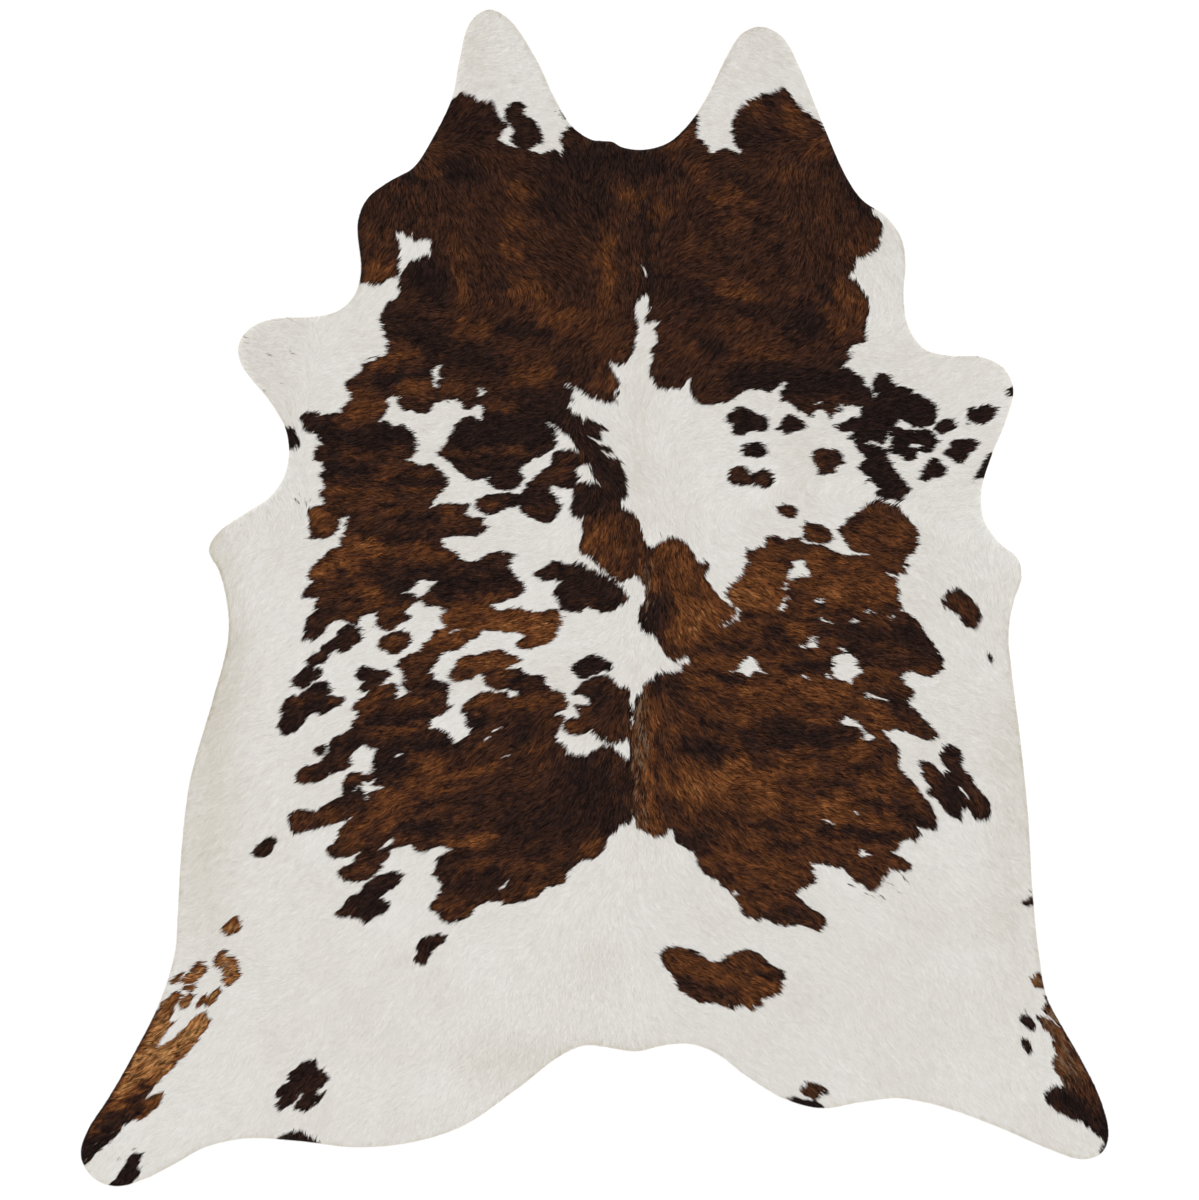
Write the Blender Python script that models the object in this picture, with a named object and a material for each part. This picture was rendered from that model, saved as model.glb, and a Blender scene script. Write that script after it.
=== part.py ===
"""A whole hair-on cowhide laid flat as a rug, hair side up and neck end toward +Y.

One closed solid: a flat underside at z = 0, a cut edge with a softened rim, and an upper face as
high as the short hair reaches, with a low ridge along the spine and the gentle swells of a hide
that lies on a floor. The origin is at the middle of the underside's box. Metres, +Z up.
"""
import math

import bmesh
import bpy
import numpy as np
from mathutils import Vector
from mathutils.geometry import delaunay_2d_cdt

# Driving sizes
HIDE_LENGTH = 2.234        # from the neck tip to the left hind tip, along Y
EDGE_HEIGHT = 0.0034       # hide and hair together, at the cut edge
FIELD_HEIGHT = 0.0048      # the same, away from the edge
EDGE_FADE = 0.045          # width over which the edge height grows to the field height
RIM_WALL = 0.0018          # upright part of the cut edge, the hide itself
RIM_INSET = 0.0024         # how far the hair rounds inward above that wall
OUTLINE_PITCH = 0.018      # spacing of corners along the cut edge
TOP_PITCH = 0.043          # spacing of points over the upper face
UNDER_PITCH = 0.16         # spacing of points over the flat underside
SPINE_PITCH = 0.030        # spacing of points along the ridge
EDGE_CLEARANCE = 0.55      # points keep this share of their pitch from the edge
RIDGE_CLEARANCE = 0.4      # the same, beside the ridge
RIDGE_SLOPE = 0.6          # share of its reach at which the ridge is down to a third
CURVE_STEPS = 24           # steps between two drawn points while a curve is laid out
MERGE_DISTANCE = 1e-6

# The outline is drawn clockwise on a ruled sheet whose length is the hide's: x in rules to the
# right, y in rules down. Each row is one feature of the hide with the points that turn it.
SHEET_LENGTH = 1176.0
OUTLINE = (
    ("left neck lobe", (452, 98), (460, 58), (469, 25), (487, 10), (508, 19), (536, 60), (555, 100)),
    ("neck bay", (572, 127), (592, 140), (612, 142), (621, 147), (642, 150), (668, 143), (690, 123)),
    ("right neck lobe", (706, 99), (730, 51), (742, 34), (760, 27), (782, 37), (799, 67), (821, 120)),
    ("right shoulder", (846, 177), (862, 200), (886, 217), (901, 239), (905, 264), (903, 300)),
    ("right shoulder bay", (909, 329), (924, 349), (949, 356), (980, 357)),
    ("right front shank", (1003, 368), (1013, 389), (1006, 420), (992, 454)),
    ("right elbow bay", (981, 492), (984, 521), (1000, 544)),
    ("right belly bulge", (1017, 558), (1021, 577), (1013, 602), (1008, 632)),
    ("right flank", (1011, 670), (1020, 741), (1028, 820), (1032, 890), (1038, 950), (1046, 996)),
    ("right hind leg", (1059, 1022), (1081, 1060), (1101, 1102), (1108, 1136), (1101, 1153), (1082, 1159)),
    ("right leg hem", (1050, 1149), (994, 1125), (937, 1105), (898, 1098), (860, 1102)),
    ("right rump", (822, 1108), (788, 1100), (751, 1079), (718, 1054)),
    ("tail stub", (692, 1044), (664, 1045), (636, 1051), (607, 1047), (585, 1045), (561, 1055)),
    ("left rump", (515, 1090), (460, 1127), (406, 1143), (355, 1147)),
    ("left leg hem", (300, 1141), (247, 1138), (205, 1147), (172, 1165), (146, 1178)),
    ("left hind leg", (117, 1186), (94, 1178), (81, 1156), (87, 1132), (108, 1099), (130, 1061)),
    ("left flank", (160, 1002), (175, 953), (178, 915), (181, 860), (190, 782), (213, 700)),
    ("left belly bulge", (228, 642), (228, 608), (219, 570), (209, 551), (218, 533)),
    ("left elbow bay", (245, 514), (269, 498), (284, 477), (289, 453), (285, 427)),
    ("left front shank", (272, 404), (241, 363), (239, 344), (252, 327), (276, 319), (312, 317)),
    ("left shoulder bay", (336, 312), (353, 298), (361, 274)),
    ("left shoulder", (358, 222), (368, 198), (392, 180), (413, 168), (434, 136)),
)

# The spine ridge: one row for each place along it, on the same ruled sheet
#   y: rules down   x: rules right   rise: height above the field   reach: half of its width
SPINE = (
    dict(y=140, x=612, rise=0.0016, reach=0.016),
    dict(y=200, x=632, rise=0.0034, reach=0.022),
    dict(y=300, x=645, rise=0.0026, reach=0.024),
    dict(y=400, x=640, rise=0.0012, reach=0.026),
    dict(y=560, x=645, rise=0.0014, reach=0.022),
    dict(y=700, x=640, rise=0.0022, reach=0.018),
    dict(y=830, x=637, rise=0.0022, reach=0.018),
    dict(y=950, x=637, rise=0.0010, reach=0.024),
    dict(y=1060, x=637, rise=0.0006, reach=0.024),
)
SPINE_LANES = (-1.0, -0.5, 0.0, 0.5, 1.0)   # where the ridge's points run, in shares of its reach

# The swells of the flat hide
#   height   length: crest to crest   heading: degrees from +X   shift: where the first crest is
SWELLS = (
    dict(height=0.00045, length=0.74, heading=18.0, shift=0.10),
    dict(height=0.00040, length=0.52, heading=102.0, shift=0.31),
    dict(height=0.00030, length=0.35, heading=61.0, shift=0.05),
    dict(height=0.00025, length=0.27, heading=146.0, shift=0.22),
)

HIDE_COLOUR = (0.26, 0.16, 0.10, 1.0)
HIDE_ROUGHNESS = 0.62

RULE = HIDE_LENGTH / SHEET_LENGTH   # one rule of the drawn sheet, in metres


def clear_scene():
    """Take away whatever the file starts with."""
    for old in list(bpy.data.objects):
        bpy.data.objects.remove(old, do_unlink=True)


def closed_curve(knots, pitch):
    """A smooth closed curve through the knots, with corners about one pitch apart."""
    knots = np.asarray(knots, dtype=float)
    before = np.roll(knots, 1, axis=0)
    after = np.roll(knots, -1, axis=0)
    beyond = np.roll(knots, -2, axis=0)
    pieces = []
    for p0, p1, p2, p3 in zip(before, knots, after, beyond):
        span0 = math.sqrt(np.linalg.norm(p1 - p0))
        span1 = math.sqrt(np.linalg.norm(p2 - p1))
        span2 = math.sqrt(np.linalg.norm(p3 - p2))
        slope1 = (p1 - p0) / span0 - (p2 - p0) / (span0 + span1) + (p2 - p1) / span1
        slope2 = (p2 - p1) / span1 - (p3 - p1) / (span1 + span2) + (p3 - p2) / span2
        t = np.linspace(0.0, 1.0, CURVE_STEPS, endpoint=False)[:, None]
        pieces.append(
            (2 * t ** 3 - 3 * t ** 2 + 1) * p1
            + (t ** 3 - 2 * t ** 2 + t) * slope1 * span1
            + (3 * t ** 2 - 2 * t ** 3) * p2
            + (t ** 3 - t ** 2) * slope2 * span1
        )
    fine = np.vstack(pieces)
    steps = np.linalg.norm(np.roll(fine, -1, axis=0) - fine, axis=1)
    along = np.concatenate(([0.0], np.cumsum(steps)))
    closed = np.vstack((fine, fine[:1]))
    count = int(round(along[-1] / pitch))
    wanted = np.linspace(0.0, along[-1], count, endpoint=False)
    return np.column_stack([np.interp(wanted, along, closed[:, axis]) for axis in (0, 1)])


def sheet_to_hide(points):
    """Places on the ruled sheet in metres, before centring: y runs up toward the neck."""
    points = np.asarray(points, dtype=float)
    return np.column_stack((points[:, 0] * RULE, -points[:, 1] * RULE))


def inward(ring, distance):
    """The clockwise ring moved toward its inside."""
    along = np.roll(ring, -1, axis=0) - np.roll(ring, 1, axis=0)
    along /= np.linalg.norm(along, axis=1)[:, None]
    return ring + distance * np.column_stack((along[:, 1], -along[:, 0]))


def edge_distance(points, ring):
    """How far each point is from the ring, in metres."""
    runs = np.roll(ring, -1, axis=0) - ring
    squares = (runs ** 2).sum(axis=1)
    nearest = np.full(len(points), np.inf)
    for corner, leg, size in zip(ring, runs, squares):
        share = np.clip(((points - corner) @ leg) / size, 0.0, 1.0)
        gap = np.linalg.norm(points - corner - share[:, None] * leg, axis=1)
        nearest = np.minimum(nearest, gap)
    return nearest


def inside(points, ring):
    """Which points lie within the ring."""
    result = np.zeros(len(points), dtype=bool)
    for (x1, y1), (x2, y2) in zip(ring, np.roll(ring, -1, axis=0)):
        if y1 == y2:
            continue
        crosses = (points[:, 1] < max(y1, y2)) & (points[:, 1] >= min(y1, y2))
        crossing_x = x1 + (points[:, 1] - y1) * (x2 - x1) / (y2 - y1)
        result ^= crosses & (points[:, 0] < crossing_x)
    return result


def spine_values(y, centre):
    """The ridge's place, rise and reach at heights y of the centred hide."""
    rows = sorted(SPINE, key=lambda row: -row["y"])
    places = sheet_to_hide([(row["x"], row["y"]) for row in rows]) - centre
    rise = [row["rise"] for row in rows]
    reach = [row["reach"] for row in rows]
    return tuple(np.interp(y, places[:, 1], column) for column in (places[:, 0], rise, reach))


def upper_height(points, ring, centre):
    """How high the hair reaches over each point of the upper face."""
    fade = np.clip(edge_distance(points, ring) / EDGE_FADE, 0.0, 1.0)
    fade = fade * fade * (3.0 - 2.0 * fade)
    x, y = points[:, 0], points[:, 1]
    spine_x, rise, reach = spine_values(y, centre)
    ridge = rise * np.exp(-((x - spine_x) / (RIDGE_SLOPE * reach)) ** 2)
    swell = np.zeros(len(points))
    for row in SWELLS:
        heading = math.radians(row["heading"])
        across = x * math.cos(heading) + y * math.sin(heading)
        swell += row["height"] * np.cos(2.0 * math.pi * (across / row["length"] - row["shift"]))
    return EDGE_HEIGHT + fade * (FIELD_HEIGHT - EDGE_HEIGHT + swell) + fade * ridge


def field_points(ring, pitch):
    """Staggered rows of points that fill the ring and keep clear of it."""
    low, high = ring.min(axis=0), ring.max(axis=0)
    rows = np.arange(low[1] + 0.5 * pitch, high[1], pitch * math.sqrt(0.75))
    points = []
    for number, y in enumerate(rows):
        stagger = 0.5 * pitch * (number % 2)
        columns = np.arange(low[0] + stagger, high[0], pitch)
        points.extend((x, y) for x in columns)
    points = np.array(points)
    points = points[inside(points, ring)]
    return points[edge_distance(points, ring) > EDGE_CLEARANCE * pitch]


def ridge_points(ring, centre):
    """Lanes of points that follow the spine ridge."""
    ends = sheet_to_hide([(0, SPINE[-1]["y"]), (0, SPINE[0]["y"])]) - centre
    stations = np.arange(ends[0, 1], ends[1, 1], SPINE_PITCH)
    spine_x, _, reach = spine_values(stations, centre)
    points = np.vstack([np.column_stack((spine_x + lane * reach, stations)) for lane in SPINE_LANES])
    points = points[inside(points, ring)]
    return points[edge_distance(points, ring) > EDGE_CLEARANCE * SPINE_PITCH]


def upper_points(ring, centre):
    """The points of the upper face: the even field, and the ridge's lanes in its place there."""
    field = field_points(ring, TOP_PITCH)
    spine_x, _, reach = spine_values(field[:, 1], centre)
    field = field[np.abs(field[:, 0] - spine_x) > reach + RIDGE_CLEARANCE * TOP_PITCH]
    return np.vstack((field, ridge_points(ring, centre)))


def triangles(ring, points):
    """Triangles over the ring and the points within it, as rows of three indices."""
    flat = [Vector(point) for point in np.vstack((ring, points))]
    count = len(ring)
    edges = [(index, (index + 1) % count) for index in range(count)]
    placed, _, faces, origins, _, _ = delaunay_2d_cdt(flat, edges, [], 1, MERGE_DISTANCE)
    source = [origin[0] for origin in origins]
    if len(placed) != len(flat):
        raise ValueError("two points of the hide fall together")
    return [tuple(source[corner] for corner in face) for face in faces]


def build_hide():
    """The hide as one closed solid."""
    knots = sheet_to_hide([point for row in OUTLINE for point in row[1:]])
    ring = closed_curve(knots, OUTLINE_PITCH)
    centre = 0.5 * (ring.min(axis=0) + ring.max(axis=0))
    ring = ring - centre
    top_ring = inward(ring, RIM_INSET)
    top_field = upper_points(top_ring, centre)
    under_field = field_points(ring, UNDER_PITCH)
    top_flat = np.vstack((top_ring, top_field))
    top_heights = upper_height(top_flat, ring, centre)

    body = bmesh.new()
    under = [body.verts.new((x, y, 0.0)) for x, y in np.vstack((ring, under_field))]
    wall = [body.verts.new((x, y, RIM_WALL)) for x, y in ring]
    upper = [body.verts.new((x, y, z)) for (x, y), z in zip(top_flat, top_heights)]
    for a, b, c in triangles(ring, under_field):
        body.faces.new((under[a], under[b], under[c]))
    for a, b, c in triangles(top_ring, top_field):
        body.faces.new((upper[a], upper[b], upper[c]))
    count = len(ring)
    for low, high in ((under, wall), (wall, upper)):
        for index in range(count):
            after = (index + 1) % count
            body.faces.new((low[index], low[after], high[after]))
            body.faces.new((low[index], high[after], high[index]))
    bmesh.ops.recalc_face_normals(body, faces=body.faces)

    mesh = bpy.data.meshes.new("hide")
    body.to_mesh(mesh)
    body.free()
    hide = bpy.data.objects.new("hide", mesh)
    bpy.context.collection.objects.link(hide)
    return hide


def hide_material():
    """Brown and white hair lying flat."""
    material = bpy.data.materials.new("hide")
    material.use_nodes = True
    surface = material.node_tree.nodes["Principled BSDF"]
    surface.inputs["Base Color"].default_value = HIDE_COLOUR
    surface.inputs["Roughness"].default_value = HIDE_ROUGHNESS
    surface.inputs["Metallic"].default_value = 0.0
    return material


clear_scene()
build_hide().data.materials.append(hide_material())
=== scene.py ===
"""Looks of a hair-on cowhide laid flat: the tanned skin as a thin sheet, and the coat as short locks on it.

Markings, lie of the hair and tones are laid out in steps of the drawing sheet that the hide is cut from:
x to the right, y down toward the tail. One step is 1.9 mm on the hide.
"""
import math

import bpy
import bmesh
import numpy as np
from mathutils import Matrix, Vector
from mathutils.bvhtree import BVHTree
from mathutils.geometry import delaunay_2d_cdt


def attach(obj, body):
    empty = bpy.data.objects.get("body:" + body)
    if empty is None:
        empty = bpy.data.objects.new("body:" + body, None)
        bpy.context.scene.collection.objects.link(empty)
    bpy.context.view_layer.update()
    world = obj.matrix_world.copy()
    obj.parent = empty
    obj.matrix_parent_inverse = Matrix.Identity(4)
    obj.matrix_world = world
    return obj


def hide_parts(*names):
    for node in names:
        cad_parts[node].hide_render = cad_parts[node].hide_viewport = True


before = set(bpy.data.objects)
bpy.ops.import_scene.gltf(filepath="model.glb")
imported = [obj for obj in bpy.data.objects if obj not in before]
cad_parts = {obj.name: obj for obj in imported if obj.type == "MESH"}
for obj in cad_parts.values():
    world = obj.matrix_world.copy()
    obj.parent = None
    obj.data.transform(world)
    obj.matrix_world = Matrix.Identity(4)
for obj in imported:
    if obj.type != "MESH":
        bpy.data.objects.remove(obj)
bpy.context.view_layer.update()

# ---------------------------------------------------------------- sizes, in metres unless said

STEP = 2.234 / 1176.0  # one step of the drawing sheet on the hide
SHEET_MID = (594.5, 598.0)  # the sheet's place of the hide's middle
SHEET_STEPS = 1200  # the sheet's side, in steps
CELLS = 2  # cells to a step, where an outline is drawn

COAT_DEPTH = 0.0022  # hair lying flat, over the skin
SKIN_THICKNESS = 0.0022  # tanned skin, without hair
SKIN_EDGE = 0.0015  # least height of the skin's hair side above the floor
SKIN_PITCH = 0.0105  # spacing of the skin's points on the hair side
FLESH_PITCH = 0.040  # the same on the flesh side
POINT_SWAY = 0.16  # how far a point is astray, as a share of the spacing
POINT_CLEAR = 0.45  # how far a point keeps from the cut edge, as a share of the spacing
EDGE_PARTS = 4  # parts between two of the cut edge's own points
CUT_BEVEL = 0.0006  # worn corner of the cut edge
RELIEF_PITCH = 4  # steps of the sheet between two measured heights
RELIEF_ROUNDS = 6  # how many places past the cut edge the heights are carried on
WELL_ABOVE = 0.1  # where the measuring of a height starts

HAIR_PITCH = 0.00181  # between hair roots
HAIR_LENGTH = (0.0095, 0.0145)
HAIR_WIDTH = (0.0012, 0.0018)  # a lock of a few hairs, because one hair is too fine to show
HAIR_LIFT = (0.0006, 0.0026)  # tip above the skin
HAIR_ROLL = 28.0  # degrees that a lock turns about its own line
WHITE_ROLL = 0.5  # share of that turn for white hair
ROOT_CLEAR = 0.0001  # root above the skin
TUFT_SCALE = 3.2  # reach of a tuft of locks that lie alike, in steps
LOCK_SWAY = 6.0  # degrees that a tuft strays from the lie of the hair, and a lock from its tuft
EDGE_HANG = 0.0016  # hair past the cut edge
HAIR_TRIMS = (0.8, 0.62, 0.45, 0.3)  # cuts, one after another, of a lock that hangs over too far
TRIM_EASE = 0.9  # what every cut is divided by
BELTS = ["hair_neck", "hair_shoulders", "hair_back", "hair_loins", "hair_rump"]  # neck to tail

FLOOR_REACH = 40  # from the middle to the floor's sides
FLOOR_GAP = 0.0006  # floor under the hide's underside
STUDIO_GLOW = 0.16  # strength of the even light from all round
SENSOR_WIDTH, LENS = 36.0, 85.0  # millimetres
VIEW_MID = (599.5, 600.0)  # the view's middle on the sheet
VIEW_STEPS = 1200  # the view's width on the sheet, in steps

# ---------------------------------------------------------------- markings, in steps of the drawing sheet

# name, tone of the middle (0 black-brown to 1 golden tan), dark rim (0 to 1), outline
DARK_PATCHES = [
    ("neck", 0.34, 1.0,
     "444,110 450,102 455,98 459,95 463,92 469,95 476,99 486,102 493,104 497,112 500,118 504,120 "
     "508,124 507,128 501,134 500,141 508,146 517,150 530,151 541,155 549,152 557,151 561,157 564,151 "
     "561,143 563,134 571,126 600,120 640,125 680,110 693,113 698,119 696,130 697,138 703,142 706,148 "
     "714,154 721,149 729,148 738,157 741,150 734,144 732,136 732,124 736,114 742,106 752,99 763,94 "
     "775,92 784,87 792,97 802,111 812,117 820,123 828,135 850,140 880,195 874,207 872,213 876,218 "
     "883,223 884,229 881,237 879,245 874,253 866,257 858,258 855,265 852,272 847,276 853,281 858,285 "
     "862,292 867,296 868,304 869,312 866,321 865,331 867,341 858,344 847,350 851,357 846,363 842,367 "
     "851,370 856,375 862,377 865,381 863,385 868,388 872,393 874,400 868,407 857,407 845,405 840,410 "
     "832,416 824,411 818,409 811,416 801,412 793,405 781,401 780,394 785,385 783,380 778,386 773,390 "
     "768,393 762,391 757,390 747,390 738,395 728,402 716,404 703,406 696,402 692,394 691,388 690,382 "
     "691,378 687,380 685,384 681,388 676,390 671,390 664,389 658,387 653,381 650,375 649,367 652,360 "
     "651,354 650,350 652,347 656,345 660,341 656,341 657,337 655,334 654,331 656,327 660,322 655,322 "
     "650,323 646,322 645,318 647,315 650,312 648,309 648,305 650,302 649,298 646,295 641,298 637,302 "
     "635,306 634,312 636,317 637,320 637,330 635,338 633,352 627,362 620,366 607,361 614,372 621,385 "
     "617,396 612,403 602,403 592,397 580,391 565,385 540,400 490,398 479,404 470,410 462,408 459,401 "
     "452,399 441,402 434,403 430,411 425,415 414,410 404,411 399,405 399,399 391,397 385,400 375,402 "
     "351,399 349,394 345,388 348,381 355,377 360,371 362,366 366,361 375,357 383,357 387,352 386,347 "
     "389,341 384,336 381,327 379,318 384,310 387,303 393,301 398,297 399,285 400,276 394,278 387,280 "
     "381,284 372,287 361,283 340,270 340,180 400,150 430,110"),
    ("left neck blot", 0.22, 1.0,
     "505,117 507,110 508,105 513,102 520,102 526,104 526,109 524,114 530,117 533,120 538,126 542,131 "
     "543,138 541,143 536,147 529,149 528,154 518,154 519,149 514,145 512,138 514,130 511,124 507,121"),
    ("left flank", 0.38, 1.0,
     "385,400 389,407 383,416 376,427 381,421 388,421 393,427 402,425 409,430 416,437 415,446 416,452 "
     "409,459 404,462 413,462 420,466 432,465 439,470 449,478 447,485 440,493 432,505 433,509 443,503 "
     "455,505 466,504 470,507 465,514 475,517 484,518 480,525 488,527 483,532 476,537 465,535 453,537 "
     "441,539 444,545 440,549 450,549 457,554 461,560 470,563 478,561 486,555 493,553 501,551 508,554 "
     "514,554 513,558 509,562 511,565 506,568 512,571 516,577 522,583 526,587 523,592 519,597 508,599 "
     "498,603 490,604 470,606 445,610 438,606 430,606 424,604 420,600 418,601 412,606 407,609 406,613 "
     "412,618 409,620 403,622 398,625 392,630 385,631 380,629 375,627 377,622 376,617 375,612 370,613 "
     "365,615 360,617 358,622 352,623 346,620 339,620 333,622 328,627 324,632 320,637 316,640 308,640 "
     "301,641 304,633 305,626 306,620 310,616 316,612 313,609 315,603 318,598 312,598 307,597 301,599 "
     "303,593 307,587 313,582 308,579 308,573 313,567 318,561 329,550 340,546 341,538 347,531 345,523 "
     "349,519 347,517 339,518 340,526 337,531 326,539 310,538 310,523 308,510 314,507 325,506 320,491 "
     "325,487 320,475 324,470 321,463 313,457 317,446 325,444 319,441 316,434 308,433 303,428 300,416 "
     "306,413 314,413 320,417 330,414 342,414 341,409 345,404 351,400 360,395"),
    ("centre mass", 0.2, 1.0,
     "480,398 520,395 565,385 571,389 573,394 571,399 568,404 568,408 575,413 582,419 590,420 597,422 "
     "604,430 601,433 601,440 594,441 600,445 606,446 612,452 606,455 613,458 620,461 621,467 626,476 "
     "628,487 627,496 621,502 620,509 610,520 590,522 582,520 576,518 571,514 569,508 574,499 572,490 "
     "560,487 548,487 551,494 558,500 561,506 558,512 555,519 547,524 538,521 528,516 521,512 520,504 "
     "514,508 507,507 500,512 492,515 484,514 474,508 479,499 487,495 500,493 510,492 520,495 526,489 "
     "528,483 537,476 544,469 551,465 551,456 555,452 554,449 544,455 534,458 529,463 520,467 520,474 "
     "523,479 518,487 508,490 498,489 490,485 484,477 478,480 467,480 463,474 455,469 450,461 440,457 "
     "438,452 444,446 447,441 451,434 454,426 462,419 470,416 478,420 483,422 481,416 483,410 480,405"),
    ("spine lobe", 0.46, 0.8,
     "600,505 620,503 621,508 630,510 634,514 638,520 642,530 644,542 647,547 652,549 658,560 655,600 "
     "648,589 644,586 640,581 637,580 634,574 631,580 629,582 626,579 624,582 620,582 617,581 611,577 "
     "605,572 599,567 594,562 590,557 586,556 580,556 580,543 583,535 582,528 583,521 590,515"),
    ("chestnut bar", 0.62, 0.7,
     "440,600 470,600 490,605 497,611 505,611 512,609 520,608 530,612 540,613 550,610 558,610 561,617 "
     "558,628 556,636 549,643 538,646 530,649 518,648 515,644 520,640 527,636 518,633 505,632 492,631 "
     "482,630 478,636 468,642 459,651 445,651 430,656 420,652 422,645 427,641 433,636 434,631 440,629 "
     "446,626 440,620 441,615 445,610"),
    ("bar's lower end", 0.4, 1.0,
     "394,667 398,662 402,658 408,655 415,653 421,650 430,645 440,652 439,658 434,666 428,673 436,675 "
     "433,680 441,681 430,692 412,693 407,691 405,687 400,686 403,681 405,677 402,674 400,668"),
    ("lower left mass", 0.36, 1.0,
     "353,704 357,700 363,697 368,693 376,688 382,686 388,684 394,683 400,690 412,692 430,683 437,681 "
     "443,682 448,686 449,693 446,702 452,707 443,713 433,718 428,728 438,730 446,733 451,740 458,743 "
     "465,737 472,730 467,726 466,717 461,711 463,704 472,697 484,693 500,692 507,693 510,699 516,696 "
     "515,690 505,689 495,690 488,688 483,682 483,679 486,674 492,671 500,671 508,670 520,670 524,673 "
     "530,675 540,676 546,678 545,683 550,688 556,691 562,694 566,699 570,703 567,709 560,711 554,714 "
     "563,715 566,718 561,724 560,730 554,737 560,742 565,748 567,753 573,755 580,757 586,757 592,752 "
     "600,748 606,746 613,749 618,752 624,756 627,761 634,760 637,800 635,818 632,820 628,822 624,823 "
     "620,826 617,830 612,834 608,837 606,843 604,850 600,855 594,859 588,859 581,861 573,867 567,872 "
     "566,878 564,883 556,886 548,887 541,892 537,897 530,899 520,902 512,904 504,905 498,901 490,901 "
     "481,904 474,909 470,915 463,920 455,921 451,925 448,923 442,921 440,916 434,912 430,909 429,905 "
     "435,900 438,896 441,890 441,884 438,880 433,876 434,870 438,864 437,858 444,855 449,850 440,846 "
     "433,848 427,851 420,853 415,849 411,845 404,846 396,848 389,846 392,852 388,858 383,862 381,868 "
     "376,873 366,880 358,881 350,882 343,882 337,873 341,869 347,866 353,861 358,855 346,857 338,858 "
     "331,856 325,852 327,848 333,844 337,838 338,831 344,824 350,818 335,824 316,829 300,832 293,834 "
     "290,828 288,822 289,815 293,812 299,809 306,810 313,811 320,808 328,804 336,799 342,797 341,789 "
     "342,781 346,776 352,773 358,773 364,776 371,775 373,770 372,763 374,756 377,750 370,750 364,746 "
     "358,748 353,753 349,758 351,763 350,767 345,771 337,772 328,775 323,780 314,783 305,784 296,782 "
     "294,778 297,771 303,768 312,765 320,762 324,757 322,754 316,755 313,750 318,746 326,745 332,739 "
     "338,735 345,733 351,728 354,722 357,716 356,713 352,708"),
    ("lower left finger", 0.16, 1.0,
     "335,914 340,909 345,903 349,897 356,893 362,891 364,884 370,880 376,876 384,874 393,872 401,874 "
     "404,877 399,884 392,888 386,891 382,896 378,899 384,899 388,903 391,907 385,912 379,916 372,919 "
     "366,924 362,922 357,918 350,918 343,917 336,917"),
    ("bar's middle end", 0.58, 0.8,
     "451,680 450,675 453,669 456,663 460,656 470,656 480,655 488,652 495,650 502,650 507,654 514,656 "
     "521,658 519,663 512,665 506,669 500,673 490,675 483,677 478,673 475,676 470,680 463,681 456,683"),
    ("blot beside the spine", 0.18, 1.0,
     "535,577 535,573 539,569 546,566 551,562 560,562 566,565 573,564 580,564 586,567 593,571 600,573 "
     "606,576 612,580 618,585 622,590 627,595 629,599 625,603 621,606 616,610 608,613 601,613 596,610 "
     "590,608 585,607 581,612 573,612 566,611 561,610 560,605 560,600 556,597 553,593 557,588 561,584 "
     "556,580 548,581 540,580"),
    ("lower blot beside the spine", 0.14, 1.0,
     "572,668 573,664 580,661 586,656 594,654 600,658 606,661 612,663 610,667 612,670 606,671 599,673 "
     "592,676 588,679 580,679 576,676 573,672"),
    ("blot above the left mass", 0.34, 1.0,
     "572,693 579,686 584,682 590,679 599,676 609,676 615,681 620,687 628,689 631,693 630,705 634,712 "
     "634,742 628,741 624,742 617,744 612,745 604,742 599,738 594,735 589,730 586,733 580,736 574,735 "
     "567,734 562,730 564,724 568,720 574,718 581,717 578,714 577,711 575,708 575,705 583,705 592,706 "
     "589,700 586,697 580,695 574,694"),
    ("chain, upper", 0.18, 1.0,
     "336,633 339,630 343,627 347,624 352,625 356,626 360,629 361,634 365,638 360,640 355,644 352,648 "
     "345,652 340,653 336,651 331,651 329,655 327,660 323,663 318,665 312,666 306,664 306,661 309,657 "
     "316,652 321,648 329,642 336,637"),
    ("chain, middle", 0.16, 1.0,
     "292,680 296,676 300,672 304,669 309,667 313,667 317,669 321,669 322,672 320,676 318,679 314,682 "
     "310,684 306,686 302,689 299,689 297,686 292,687 294,683"),
    ("chain, lower", 0.18, 1.0,
     "277,726 280,722 281,718 283,714 280,712 281,707 284,703 287,699 292,696 296,697 300,694 303,691 "
     "308,688 313,686 317,683 321,681 325,682 328,683 328,686 332,688 334,690 331,693 327,695 330,696 "
     "334,695 337,696 341,697 344,699 343,703 341,705 336,707 330,711 325,714 318,716 315,713 311,713 "
     "308,716 305,720 302,725 300,728 296,731 291,733 286,735 282,734 281,730"),
    ("oval in the left flank", 0.52, 0.9,
     "379,642 381,638 386,635 392,632 400,631 407,631 411,634 411,640 409,646 403,650 396,654 390,654 "
     "384,651 380,647"),
    ("pair in the left flank", 0.24, 1.0,
     "353,676 356,671 360,667 368,667 373,669 380,671 387,670 392,672 388,677 385,681 380,685 374,689 "
     "370,691 362,692 358,690 361,685 363,681 357,679"),
    ("right rump", 0.47, 1.0,
     "646,547 650,549 655,546 660,542 668,539 675,539 683,540 687,545 693,553 698,562 705,563 710,564 "
     "709,570 704,577 708,583 713,587 717,594 722,599 731,606 727,600 727,592 731,585 737,580 741,576 "
     "743,570 748,564 750,560 745,556 748,551 757,549 765,548 765,541 770,536 778,537 786,540 793,538 "
     "801,538 808,543 820,545 832,550 843,555 852,556 870,556 880,545 905,558 907,566 905,572 899,573 "
     "899,580 897,585 900,590 900,600 902,607 905,613 912,616 918,622 923,628 926,636 933,643 938,651 "
     "944,660 943,668 938,674 930,677 922,675 914,671 905,672 903,677 906,683 911,688 916,694 914,699 "
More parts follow.
